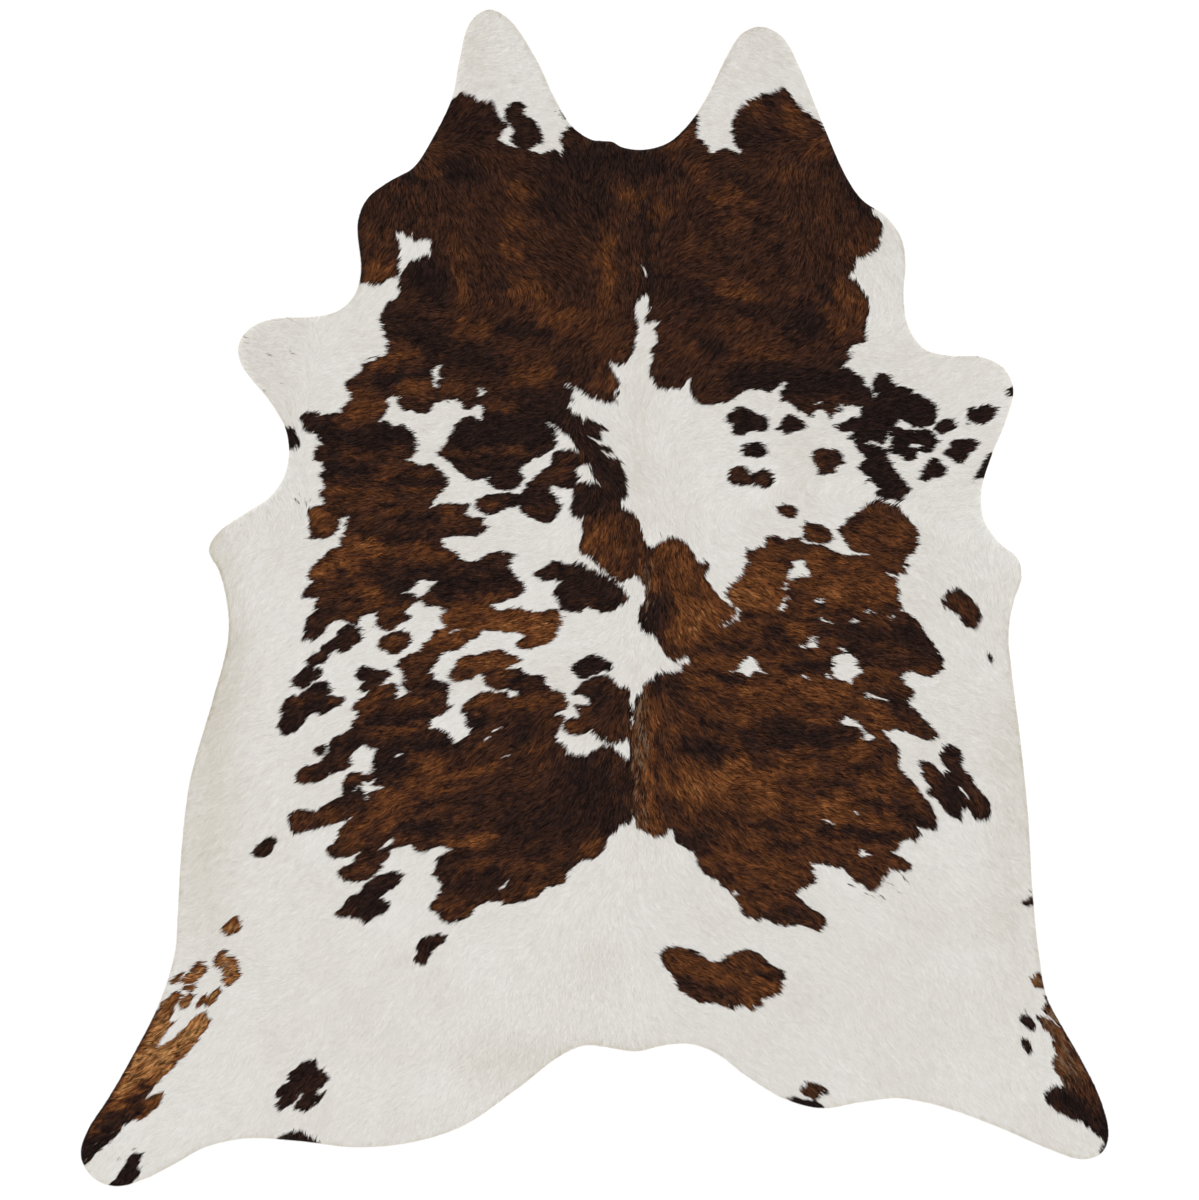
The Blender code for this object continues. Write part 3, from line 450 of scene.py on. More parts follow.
# the brindle of the dark coat, brushed on from broad to fine: x and y of the two ends, width, tone
BRINDLE = [
    # neck, left of the spine
    (458, 122, 486, 128, 34, 0.22), (428, 150, 442, 150, 18, 0.42), (415, 172, 440, 176, 5, 0.50),
    (403, 178, 428, 182, 7, 0.08), (455, 170, 469, 174, 24, 0.12), (392, 208, 408, 212, 22, 0.25),
    (372, 240, 388, 240, 20, 0.38), (372, 272, 386, 272, 24, 0.60), (422, 274, 434, 288, 36, 0.10),
    (396, 322, 434, 338, 34, 0.20), (456, 240, 462, 300, 12, 0.50), (496, 286, 508, 286, 14, 0.20),
    (480, 295, 490, 295, 8, 0.35), (486, 230, 494, 230, 10, 0.35), (518, 190, 530, 194, 17, 0.56),
    (511, 221, 523, 223, 15, 0.57), (508, 251, 520, 253, 17, 0.57), (515, 288, 537, 293, 26, 0.59),
    (550, 317, 572, 318, 22, 0.57), (546, 182, 574, 188, 40, 0.22), (540, 203, 556, 207, 26, 0.20),
    (560, 160, 620, 160, 24, 0.16), (600, 190, 610, 197, 20, 0.18), (590, 210, 606, 212, 15, 0.15),
    (576, 230, 590, 236, 16, 0.28), (534, 257, 550, 259, 14, 0.28), (545, 274, 559, 276, 12, 0.30),
    (566, 285, 584, 289, 15, 0.28), (608, 240, 606, 300, 14, 0.59), (500, 328, 545, 332, 14, 0.14),
    (420, 345, 500, 368, 22, 0.17), (375, 365, 412, 352, 14, 0.60), (378, 378, 430, 372, 9, 0.16),
    (380, 382, 390, 382, 11, 0.10), (348, 389, 362, 391, 14, 0.55), (402, 388, 428, 390, 10, 0.58),
    (448, 389, 462, 391, 13, 0.50), (518, 374, 542, 376, 26, 0.55), (557, 370, 569, 370, 13, 0.20),
    (465, 327, 485, 329, 18, 0.50), (596, 322, 614, 348, 28, 0.45), (584, 372, 596, 372, 14, 0.28),
    (599, 384, 611, 387, 14, 0.50), (505, 400, 555, 400, 16, 0.20),
    # neck, right of the spine
    (612, 160, 634, 170, 26, 0.20), (620, 193, 630, 198, 17, 0.58), (646, 166, 658, 168, 20, 0.15),
    (665, 148, 695, 128, 12, 0.52), (671, 173, 683, 173, 15, 0.22), (690, 172, 700, 172, 13, 0.50),
    (710, 165, 740, 175, 14, 0.25), (715, 200, 748, 198, 14, 0.56), (712, 231, 722, 233, 12, 0.25),
    (728, 227, 742, 229, 12, 0.50), (679, 222, 691, 222, 15, 0.25), (656, 213, 668, 213, 13, 0.55),
    (691, 250, 703, 250, 13, 0.50), (645, 200, 648, 290, 8, 0.15), (658, 285, 705, 300, 24, 0.20),
    (725, 288, 755, 294, 14, 0.60), (735, 308, 800, 315, 14, 0.20), (797, 324, 817, 326, 28, 0.10),
    (848, 249, 862, 251, 16, 0.55), (838, 298, 858, 302, 32, 0.58), (830, 325, 846, 325, 14, 0.50),
    (778, 240, 780, 262, 8, 0.18), (757, 225, 769, 225, 13, 0.25), (748, 188, 762, 188, 14, 0.25),
    (782, 173, 794, 173, 15, 0.50), (788, 110, 800, 130, 10, 0.56), (812, 150, 826, 152, 16, 0.55),
    (750, 107, 760, 107, 13, 0.62), (761, 103, 769, 105, 10, 0.18), (749, 136, 765, 140, 24, 0.22),
    (828, 164, 842, 166, 17, 0.20), (845, 185, 870, 215, 12, 0.20), (832, 244, 844, 246, 14, 0.38),
    (822, 285, 826, 300, 10, 0.15), (705, 328, 755, 327, 15, 0.42), (700, 340, 720, 352, 14, 0.15),
    (677, 352, 689, 352, 14, 0.46), (752, 350, 768, 350, 17, 0.48), (765, 359, 790, 358, 5, 0.55),
    (745, 382, 865, 382, 32, 0.10), (655, 370, 675, 370, 20, 0.30),
    # left flank
    (352, 415, 372, 409, 24, 0.60), (312, 434, 408, 434, 30, 0.12), (380, 452, 410, 450, 5, 0.38),
    (326, 472, 340, 472, 17, 0.08), (350, 470, 366, 470, 14, 0.15), (400, 480, 445, 482, 10, 0.22),
    (325, 490, 370, 488, 14, 0.50), (392, 495, 430, 495, 10, 0.45), (316, 520, 332, 524, 24, 0.62),
    (405, 518, 440, 520, 9, 0.15), (355, 530, 475, 529, 14, 0.30), (442, 510, 458, 510, 14, 0.45),
    (380, 537, 440, 536, 5, 0.20), (322, 572, 370, 545, 24, 0.68), (395, 548, 450, 556, 14, 0.56),
    (312, 592, 360, 576, 6, 0.32), (375, 575, 445, 570, 9, 0.18), (390, 586, 406, 586, 18, 0.12),
    (438, 585, 502, 585, 34, 0.15), (450, 572, 500, 575, 5, 0.36), (480, 598, 505, 594, 9, 0.60),
    (355, 598, 375, 592, 22, 0.64), (346, 598, 358, 598, 11, 0.22), (318, 616, 332, 614, 12, 0.25),
    (306, 631, 322, 629, 14, 0.20), (375, 610, 395, 610, 16, 0.50),
    # bar, centre mass and spine lobe
    (445, 620, 485, 620, 30, 0.60), (504, 622, 552, 624, 28, 0.72), (424, 643, 464, 640, 16, 0.62),
    (460, 433, 545, 432, 24, 0.12), (484, 406, 512, 404, 10, 0.50), (442, 454, 530, 452, 7, 0.46),
    (470, 480, 514, 480, 20, 0.22), (556, 458, 580, 458, 9, 0.50), (535, 475, 570, 475, 16, 0.38),
    (480, 504, 496, 504, 15, 0.50), (529, 498, 541, 498, 14, 0.15), (533, 512, 547, 512, 12, 0.42),
    (582, 502, 618, 502, 32, 0.20), (588, 542, 602, 538, 22, 0.60), (630, 545, 630, 595, 16, 0.42),
    (539, 572, 551, 572, 10, 0.40), (579, 600, 591, 600, 11, 0.40), (386, 646, 404, 648, 9, 0.50),
    (384, 636, 406, 636, 7, 0.20),
    # lower left mass
    (403, 668, 437, 672, 34, 0.42), (460, 660, 516, 660, 15, 0.66), (456, 676, 468, 676, 11, 0.45),
    (492, 680, 508, 680, 14, 0.48), (522, 688, 538, 688, 14, 0.30), (357, 708, 395, 690, 12, 0.58),
    (415, 692, 446, 686, 10, 0.18), (400, 704, 440, 700, 7, 0.55), (368, 722, 430, 715, 11, 0.15),
    (372, 734, 420, 728, 7, 0.50), (325, 752, 362, 742, 10, 0.14), (385, 752, 455, 742, 14, 0.12),
    (380, 768, 396, 768, 17, 0.10), (412, 757, 438, 757, 8, 0.48), (299, 773, 311, 771, 13, 0.50),
    (319, 768, 331, 768, 13, 0.25), (346, 791, 358, 791, 14, 0.12), (344, 775, 356, 775, 12, 0.42),
    (385, 800, 440, 782, 22, 0.64), (424, 770, 436, 770, 13, 0.70), (455, 778, 495, 768, 8, 0.60),
    (466, 722, 478, 722, 14, 0.12), (468, 704, 505, 698, 12, 0.56), (515, 705, 565, 698, 12, 0.52),
    (515, 741, 525, 741, 12, 0.12), (517, 725, 533, 725, 14, 0.25), (520, 752, 558, 748, 9, 0.50),
    (485, 766, 555, 766, 16, 0.35), (582, 775, 608, 832, 52, 0.15), (512, 825, 588, 825, 44, 0.22),
    (420, 805, 500, 795, 6, 0.22), (408, 828, 440, 826, 14, 0.12), (350, 830, 400, 815, 24, 0.56),
    (302, 820, 338, 819, 18, 0.50), (450, 848, 490, 840, 12, 0.66), (462, 868, 495, 862, 8, 0.62),
    (440, 862, 468, 860, 10, 0.20), (445, 888, 500, 880, 16, 0.20), (435, 905, 470, 912, 14, 0.50),
    (505, 896, 540, 888, 10, 0.54), (591, 848, 605, 848, 16, 0.62), (542, 875, 568, 875, 13, 0.42),
    (348, 870, 372, 870, 15, 0.42), (372, 886, 393, 884, 17, 0.18), (333, 913, 347, 911, 13, 0.50),
    (351, 907, 363, 907, 13, 0.18), (587, 695, 603, 695, 14, 0.20), (562, 728, 578, 728, 13, 0.52),
    (574, 712, 586, 712, 9, 0.50), (625, 772, 625, 823, 11, 0.30), (639, 694, 639, 822, 10, 0.42),
    # right rump, upper
    (680, 628, 702, 620, 38, 0.78), (693, 592, 701, 594, 8, 0.45), (648, 626, 659, 607, 30, 0.13),
    (672, 556, 690, 598, 46, 0.62), (655, 570, 664, 580, 14, 0.50), (646, 548, 648, 588, 10, 0.40),
    (669, 651, 677, 653, 16, 0.30), (738, 594, 762, 588, 42, 0.78), (776, 551, 790, 553, 12, 0.45),
    (794, 547, 802, 549, 14, 0.30), (757, 567, 763, 569, 6, 0.45), (822, 580, 888, 588, 44, 0.62),
    (834, 569, 846, 571, 5, 0.28), (878, 604, 892, 606, 12, 0.42), (812, 611, 848, 613, 6, 0.15),
    (745, 615, 800, 616, 8, 0.35), (840, 630, 925, 640, 18, 0.25), (865, 640, 935, 650, 40, 0.25),
    (875, 648, 900, 654, 6, 0.40), (900, 629, 910, 631, 16, 0.12), (770, 631, 782, 633, 13, 0.15),
    (715, 648, 795, 644, 9, 0.25), (794, 632, 806, 632, 14, 0.60), (818, 631, 842, 629, 14, 0.30),
    (785, 668, 832, 664, 9, 0.20), (692, 670, 728, 668, 18, 0.60), (716, 677, 748, 681, 7, 0.15),
    (658, 682, 672, 686, 22, 0.25), (750, 688, 845, 686, 24, 0.62), (778, 695, 790, 698, 6, 0.30),
    (800, 700, 825, 712, 8, 0.32), (895, 700, 915, 710, 20, 0.22), (874, 724, 886, 726, 16, 0.60),
    (915, 728, 935, 733, 12, 0.40), (680, 702, 705, 722, 7, 0.28), (705, 722, 745, 735, 8, 0.25),
    (778, 726, 792, 730, 22, 0.18), (790, 735, 850, 732, 12, 0.22), (684, 747, 696, 747, 20, 0.15),
    (704, 751, 720, 753, 22, 0.12), (745, 742, 830, 742, 12, 0.18), (759, 762, 771, 762, 12, 0.25),
    (690, 782, 750, 778, 40, 0.68),
    # right rump, lower
    (690, 792, 704, 788, 22, 0.80), (729, 765, 741, 765, 15, 0.74), (758, 776, 772, 774, 18, 0.72),
    (758, 804, 772, 802, 18, 0.72), (854, 750, 876, 752, 18, 0.60), (855, 767, 880, 764, 7, 0.15),
    (880, 750, 890, 750, 10, 0.25), (830, 778, 850, 784, 8, 0.22), (800, 790, 828, 795, 7, 0.25),
    (868, 784, 892, 786, 14, 0.62), (865, 802, 905, 808, 8, 0.15), (905, 816, 925, 822, 14, 0.22),
    (828, 812, 842, 808, 26, 0.70), (870, 814, 890, 816, 14, 0.60), (822, 829, 870, 833, 8, 0.13),
    (860, 838, 900, 836, 8, 0.20), (680, 838, 700, 840, 24, 0.20), (700, 815, 730, 818, 10, 0.30),
    (760, 820, 780, 832, 8, 0.22), (780, 845, 800, 845, 14, 0.25), (649, 704, 649, 828, 12, 0.62),
    (660, 745, 680, 785, 4, 0.35), (665, 700, 672, 740, 5, 0.40), (657, 803, 673, 807, 22, 0.38),
    (765, 868, 785, 872, 30, 0.56), (760, 915, 800, 918, 14, 0.30),
    # single patches and legs
    (872, 528, 888, 532, 30, 0.52), (926, 772, 934, 780, 12, 0.58), (135, 1060, 185, 1030, 60, 0.97),
    (724, 960, 742, 970, 5, 0.18), (742, 970, 768, 980, 5, 0.22), (750, 955, 770, 968, 8, 0.32),
    (690, 950, 700, 955, 6, 0.26), (776, 970, 786, 978, 9, 0.10), (676, 979, 692, 982, 7, 0.20),
    (690, 990, 738, 998, 9, 0.26), (668, 956, 712, 966, 10, 0.62), (740, 986, 772, 990, 10, 0.70),
    (748, 1000, 758, 1004, 8, 0.64), (706, 978, 738, 983, 8, 0.58), (735, 953, 748, 958, 5, 0.58),
    (700, 1000, 722, 1002, 5, 0.52), (92, 1150, 112, 1128, 30, 0.10), (112, 1124, 140, 1104, 16, 0.18),
    (132, 1104, 148, 1090, 12, 0.28), (84, 1156, 98, 1146, 20, 0.06), (150, 1112, 156, 1102, 12, 0.62),
    (104, 1114, 118, 1104, 8, 0.66), (975, 800, 984, 812, 12, 0.36), (945, 790, 955, 812, 16, 0.14),
    (962, 772, 974, 786, 8, 0.38), (298, 702, 322, 692, 8, 0.42), (330, 706, 340, 700, 6, 0.42),
    (342, 646, 350, 640, 8, 0.36), (316, 658, 324, 652, 6, 0.34), (1058, 1098, 1082, 1106, 22, 0.10),
    (1078, 1110, 1100, 1130, 30, 0.22), (1056, 1036, 1070, 1074, 26, 0.54),
    (1048, 1022, 1060, 1034, 14, 0.60), (1078, 1074, 1096, 1104, 12, 0.42),
    (1102, 1134, 1108, 1146, 18, 0.14), (1044, 998, 1048, 1004, 6, 0.15),
]

# where both coats mix, hair by hair: x, y, reach across, reach along, share of the other coat
ROAN_PLACES = [
    (640, 762, 7, 74, 0.44), (647, 575, 6, 34, 0.30), (150, 1010, 30, 20, 0.12),
    (110, 1150, 26, 20, 0.10), (228, 965, 12, 18, 0.20), (195, 990, 20, 18, 0.18), (90, 1165, 8, 8, 0.2),
    (1062, 1046, 18, 42, 0.30), (1040, 982, 12, 12, 0.18), (1052, 1014, 12, 14, 0.40),
]

# how the hair lies: x, y, heading in degrees (0 to the right, 90 toward the neck, -90 toward the tail)
LIE_OF_HAIR = [
    (480, 50, 15), (530, 115, 5), (460, 110, 35), (760, 50, 165), (720, 110, 175), (790, 110, 150),
    (600, 170, -95), (660, 180, -90), (480, 190, -55), (420, 215, -90), (375, 235, -120),
    (380, 275, -130), (500, 250, -50), (560, 255, -25), (610, 270, -75), (640, 270, -90),
    (660, 250, -100), (700, 260, -165), (745, 205, -160), (770, 250, -145), (800, 190, -95),
    (830, 220, -88), (860, 250, -80), (880, 240, -60), (400, 340, -170), (350, 390, -165),
    (640, 400, -90), (600, 440, -35), (620, 480, -40), (660, 330, -145), (320, 450, 180),
    (400, 500, -175), (540, 500, -170), (620, 540, -88), (645, 590, -90), (330, 590, -165),
    (450, 620, -168), (310, 640, -142), (300, 700, -150), (400, 720, -160), (560, 700, -165),
    (500, 800, -162), (350, 850, -155), (480, 900, -150), (632, 750, -90), (690, 600, -50),
    (760, 580, -40), (850, 560, -12), (880, 530, -10), (750, 660, -10), (880, 640, -12), (905, 690, -20),
    (930, 735, -20), (850, 780, -15), (880, 880, -45), (820, 925, -35), (935, 825, -40), (720, 800, -25),
    (700, 860, -40), (960, 610, -50), (955, 785, -45), (930, 775, -25), (950, 755, -28), (980, 812, -52),
    (950, 812, -50), (930, 440, -176), (985, 460, -170), (290, 450, -45), (300, 498, -50),
    (270, 355, -20), (960, 380, -160), (230, 600, -100), (1000, 600, -80), (266, 847, -140),
    (230, 925, -148), (431, 947, -125), (150, 1060, -149), (130, 1090, -151), (100, 1150, -142),
    (165, 1040, -146), (115, 1120, -146), (150, 1100, -148), (130, 1165, -130), (190, 1032, -140),
    (1075, 1080, -60), (1100, 1130, -60), (303, 1086, -140), (644, 700, -90), (644, 760, -90),
    (646, 815, -88), (662, 720, -70), (664, 770, -66), (668, 815, -58), (690, 745, -45), (692, 695, -28),
    (700, 780, -42), (742, 730, -18), (680, 640, -58), (656, 572, -82), (335, 490, 178),
    (318, 522, -165), (330, 550, -168), (345, 470, 180), (500, 430, -175), (530, 415, -170),
    (470, 450, 180), (560, 470, -160), (500, 480, -175), (440, 380, -175), (520, 370, -165),
    (480, 350, -160), (560, 330, -140), (590, 385, -120), (580, 585, -165), (600, 600, -160),
    (550, 575, -170), (590, 545, -120), (610, 560, -108), (620, 530, -100), (560, 650, -165),
    (590, 670, -165), (600, 700, -160), (520, 610, -172), (802, 700, -12), (622, 700, -100),
    (626, 780, -95), (622, 815, -104), (600, 800, -130), (590, 840, -140), (560, 862, -150),
    (604, 705, -150), (636, 730, -90), (638, 800, -90), (740, 780, -24), (780, 800, -18),
    (800, 830, -18), (760, 850, -24), (840, 830, -15), (720, 830, -34), (760, 740, -14), (820, 760, -12),
    (860, 810, -14), (900, 810, -15), (770, 620, -12), (740, 600, -26), (700, 660, -26), (820, 620, -8),
    (298, 1138, -120), (675, 962, -15), (700, 970, -22), (725, 985, -32), (750, 970, -30),
    (770, 978, -32), (760, 1000, -52), (735, 1003, -42), (700, 995, -25), (809, 1090, -40),
    (560, 1000, -110), (640, 980, -90), (900, 1000, -60), (350, 1050, -130), (222, 960, -165),
    (232, 972, -168), (196, 970, -145), (176, 979, -145), (190, 988, -160), (186, 1001, -138),
    (207, 998, -130), (172, 1000, -135), (745, 420, -165), (754, 450, -172), (740, 476, -158),
    (763, 479, -158), (792, 424, -172), (825, 460, -170), (870, 440, 180), (900, 410, -172),
    (885, 480, -172), (940, 425, -172), (960, 450, -172), (930, 470, -170), (788, 512, -8),
    (818, 532, -10), (845, 530, -8), (785, 545, -12), (760, 560, -20),
]

# where the white coat is creamier or greyer, partly its own cream tint and partly painted shade toward the
# hide's edges: x, y, reach across, reach along, shift of tone
WHITE_PLACES = [
    (215, 640, 26, 150, 0.10), (200, 850, 30, 120, 0.05), (270, 350, 30, 30, 0.03),
    (470, 40, 26, 34, 0.04), (1015, 800, 22, 160, 0.04), (560, 1060, 150, 20, 0.05),
    (640, 450, 12, 120, 0.03), (760, 45, 26, 34, 0.04),
]

# ---------------------------------------------------------------- how lie, markings and tones are laid on

LIE_PITCH = 8  # steps between two places where the lie is worked out
LIE_REACH = 14.0  # steps within which one row of LIE_OF_HAIR outweighs the others
LIE_SWAY = ((7.0, 26), (5.0, 11))  # degrees that the lie wanders, and over how many steps

GROWN_TO = 0.25  # under 0.5, dark hair reaches a little past its outline
TONE_BETWEEN = 0.35  # of the dark coat, outside the patches
BRUSH_WAVER = ((2.4, 7.0), (1.3, 3.0))  # steps that a brushed edge wavers, and over how many
BRUSH_MARGIN = 8  # steps past its width where a stroke still shows
BRUSH_REACH = 0.56  # share of its width where a stroke fades, from its middle line
BRUSH_FALL = 1.3  # how steeply it fades there
BRUSH_COVER = 0.92  # how far a stroke hides what is under it

BRINDLE_SHARE = 0.068  # what broad wisps change in the dark coat's tone
MOTTLE_SHARE = 0.038  # what narrow wisps change
GRAIN_SHARE = 0.034  # what single hairs change
TAN_GRAIN_SHARE = 0.03  # what they change more in golden tan
NECK_END, NECK_FADE, NECK_CALM = 460, 60, 0.5  # row where the calm neck ends, fade, unevenness taken off
RIM_DARKER = 0.40  # of a patch's tone, at its rim
PAINTED_CUT_SHADE = 0.80  # painted shade at the cut edge, where the hair turns down: share of the tone taken off there
WHITE_MIDDLE = 0.085  # tone of the white coat
RUMP_START, RUMP_FADE, RUMP_CALM = 880, 80, 0.4  # row where white hair gets evener, fade, streaks taken off

SEEN_AT = 0.57  # share of its length where a lock takes its tone from the sheet
TEETH = 1.3  # steps that neighbouring locks reach over a patch's edge
PATCH_WAVER = 0.5  # steps that a patch's edge wavers
DARK_OVER = 0.34  # tones over this are the dark coat's
DARK_TONES, WHITE_TONES = (0.37, 0.995), (0.005, 0.30)
TONE_SPREAD, TAN_SPREAD, WHITE_SPREAD = 0.040, 0.050, 0.014  # from lock to lock; tan adds to the dark coat's
ROAN_TONE = 0.335  # grey-brown, for white and dark hair together
TONE_EDGE = 0.002  # between the two sides of a lock
LIGHT_RANGE = (0.15, 2.0)  # what a lock's painted light of 0 and of 1 does to its colour
LIGHT_MIDDLE = 0.399
PAINTED_SHEEN, TAN_PAINTED_SHEEN, WHITE_PAINTED_SHEEN = 0.25, 0.14, 0.009  # painted sheen along fine streaks of the hair; tan adds to the dark coat's
PAINTED_GLINT = 0.05  # painted glints along broader streaks of the dark coat
LOCK_LIGHT, WHITE_LOCK = 0.32, 0.018  # from lock to lock
ROOT_SHADE, TIP_LIGHT = 0.06, 0.023  # painted shade at the roots and painted light at the tips: roots are darker and tips lighter by these

# the coat's colours by tone: white coat to 0.315, mixed hair about 0.335, dark coat from 0.352
COAT_SCALE = [
    (0.00, "#FAF8F5"), (0.08, "#F1EEE9"), (0.16, "#E6E1D7"), (0.24, "#D6CEC0"), (0.315, "#BCB1A1"),
    (0.325, "#8B725A"), (0.345, "#765A43"), (0.352, "#1A110E"), (0.424, "#211511"), (0.488, "#2C1B15"),
    (0.552, "#392217"), (0.616, "#482A19"), (0.68, "#56331B"), (0.744, "#62391D"), (0.808, "#6D4122"),
    (0.872, "#784A27"), (0.936, "#89572E"), (1.00, "#AE804F"),
]
PORES = 900.0  # of the skin, to the metre
NAP = 700.0  # fibres of the flesh side, to the metre

# ---------------------------------------------------------------- drawing on the sheet

draw = np.random.default_rng(1176)


def points(text):
    """The outline's points, from 'x,y x,y ...'."""
    return np.array([pair.split(",") for pair in text.split()], dtype=float)


def filled(outline, cells=CELLS):
    """Rows, columns and mask of the cells inside an outline."""
    at = outline * cells
    low = np.maximum(np.floor(at.min(axis=0)).astype(int) - 1, 0)
    high = np.minimum(np.ceil(at.max(axis=0)).astype(int) + 2, SHEET_STEPS * cells)
    mask = np.zeros((high[1] - low[1], high[0] - low[0]), dtype=bool)
    for (xa, ya), (xb, yb) in zip(at - low, np.roll(at, -1, axis=0) - low):
        if ya == yb:
            continue
        first, last = math.ceil(min(ya, yb)), math.ceil(max(ya, yb))
        for row in range(max(first, 0), min(last, len(mask))):
            cut = xa + (row - ya) * (xb - xa) / (yb - ya)
            mask[row, : max(0, math.ceil(cut))] ^= True
    return slice(low[1], high[1]), slice(low[0], high[0]), mask


def stroke_outline(xa, ya, xb, yb, width):
    """A stroke as a thin lens-shaped outline, pointed at its far end."""
    along = np.array([xb - xa, yb - ya], dtype=float)
    reach = np.hypot(*along)
    across = np.array([-along[1], along[0]]) / reach * width / 2
    start = np.array([xa, ya], dtype=float)
    ease = along / reach * width * 0.5
    return np.array([start - across, start - ease, start + across, start + along * 0.6 + across * 0.8,
                     start + along + ease, start + along * 0.6 - across * 0.8])


def softened(field, reach, times=2):
    """Running mean over a square of 2 * reach + 1 cells, taken several times."""
    for _ in range(times):
        for axis in (0, 1):
            wide = np.concatenate([np.take(field, [0] * (reach + 1), axis=axis), field,
                                   np.take(field, [-1] * reach, axis=axis)], axis=axis)
            total = np.cumsum(wide, axis=axis, dtype=np.float64)
            size = field.shape[axis]
            ahead = np.take(total, range(2 * reach + 1, 2 * reach + 1 + size), axis=axis)
            behind = np.take(total, range(size), axis=axis)
            field = ((ahead - behind) / (2 * reach + 1)).astype(np.float32)
    return field


def read_at(field, x, y, cells=1.0):
    """Field's value at places on the sheet, blended between cells."""
    col = np.clip(x * cells, 0, field.shape[1] - 1.001)
    row = np.clip(y * cells, 0, field.shape[0] - 1.001)
    c, r = col.astype(np.int32), row.astype(np.int32)
    fc, fr = (col - c).astype(np.float32), (row - r).astype(np.float32)
    upper = field[r, c] * (1 - fc) + field[r, c + 1] * fc
    lower = field[r + 1, c] * (1 - fc) + field[r + 1, c + 1] * fc
    return upper * (1 - fr) + lower * fr


def risen(value, start, reach):
    """0 up to start, 1 from start + reach on."""
    return np.clip((value - start) / reach, 0, 1)


def fallen(value, start, reach):
    """1 up to start - reach, 0 from start on."""
    return np.clip((start - value) / reach, 0, 1)


def sheet_places():
    """Place down and place across of every step of the sheet."""
    return np.mgrid[0:SHEET_STEPS, 0:SHEET_STEPS].astype(np.float32)


def cloud(scale):
    """Smooth unevenness over the sheet with a mean of 0 and a spread of 1; scale in steps."""
    side = int(SHEET_STEPS / scale) + 4
    coarse = draw.standard_normal((side, side)).astype(np.float32)
    y, x = sheet_places()
    y, x = y / scale + 1, x / scale + 1
    fy, fx = y - np.floor(y), x - np.floor(x)
    smooth_x, smooth_y = np.floor(x) + fx * fx * (3 - 2 * fx), np.floor(y) + fy * fy * (3 - 2 * fy)
    field = read_at(coarse, smooth_x, smooth_y)
    return (field - field.mean()) / field.std()


def fine_noise():
    """Unevenness from one step of the sheet to the next."""
    return draw.standard_normal((SHEET_STEPS, SHEET_STEPS)).astype(np.float32)


def combed(field, lie, reach):
    """Field drawn out along the lie of the hair, reach steps each way."""
    rows, cols = sheet_places()
    total = field.copy()
    for sign in (1.0, -1.0):
        x, y = cols.copy(), rows.copy()
        for _ in range(reach):
            c = np.clip(x, 0, SHEET_STEPS - 1).astype(np.int32)
            r = np.clip(y, 0, SHEET_STEPS - 1).astype(np.int32)
            x += lie[0][r, c] * sign
            y += lie[1][r, c] * sign
            total += field[r, c]
    return (total - total.mean()) / total.std()


def lie_field():
    """Unit direction of the hair on the sheet, blended between the rows of LIE_OF_HAIR."""
    rows = np.array(LIE_OF_HAIR, dtype=np.float32)
    far = SHEET_STEPS + 2 * LIE_PITCH
    y, x = np.mgrid[0:far:LIE_PITCH, 0:far:LIE_PITCH].astype(np.float32)
    away = (x[..., None] - rows[:, 0]) ** 2 + (y[..., None] - rows[:, 1]) ** 2
    weight = 1.0 / (away + LIE_REACH ** 2) ** 2
    heading = np.radians(rows[:, 2])
    across, down = (weight * np.cos(heading)).sum(-1), -(weight * np.sin(heading)).sum(-1)
    size = np.hypot(across, down) + 1e-9
    across, down = softened(across / size, 1, 1), softened(down / size, 1, 1)
    grid_y, grid_x = sheet_places()
    fine = [read_at(part.astype(np.float32), grid_x, grid_y, 1.0 / LIE_PITCH) for part in (across, down)]
    turn = np.radians(sum(degrees * cloud(scale) for degrees, scale in LIE_SWAY))
    size = np.hypot(*fine) + 1e-6
    ux, uy = fine[0] / size, fine[1] / size
    return ux * np.cos(turn) - uy * np.sin(turn), ux * np.sin(turn) + uy * np.cos(turn)


def drawn_patches():
    """Cell by cell: dark coat or not, the tone of its middle, and how dark its rim is."""
    side = SHEET_STEPS * CELLS
    dark = np.zeros((side, side), dtype=np.float32)
    middle = np.full((side, side), TONE_BETWEEN, dtype=np.float32)
    rim = np.ones((side, side), dtype=np.float32)
    for _, tone, edge, outline in DARK_PATCHES:
        rows, cols, mask = filled(points(outline))
        dark[rows, cols][mask] = 1.0
        middle[rows, cols][mask] = tone
        rim[rows, cols][mask] = edge
    for outline in WHITE_OPENINGS:
        rows, cols, mask = filled(points(outline))
        dark[rows, cols][mask] = 0.0
    dark = (softened(dark, 1) > GROWN_TO).astype(np.float32)
    for strokes, value in ((WHITE_STROKES, 0.0), (DARK_STROKES, 1.0)):
        for stroke in strokes:
            rows, cols, mask = filled(stroke_outline(*stroke))
            dark[rows, cols][mask] = value
    return dark, middle, rim


def wavered(places):
    """Places shifted a little to and fro, so that what is drawn there has an uneven edge."""
    for shift, scale in BRUSH_WAVER:
        places = places + shift * cloud(scale)
    return places


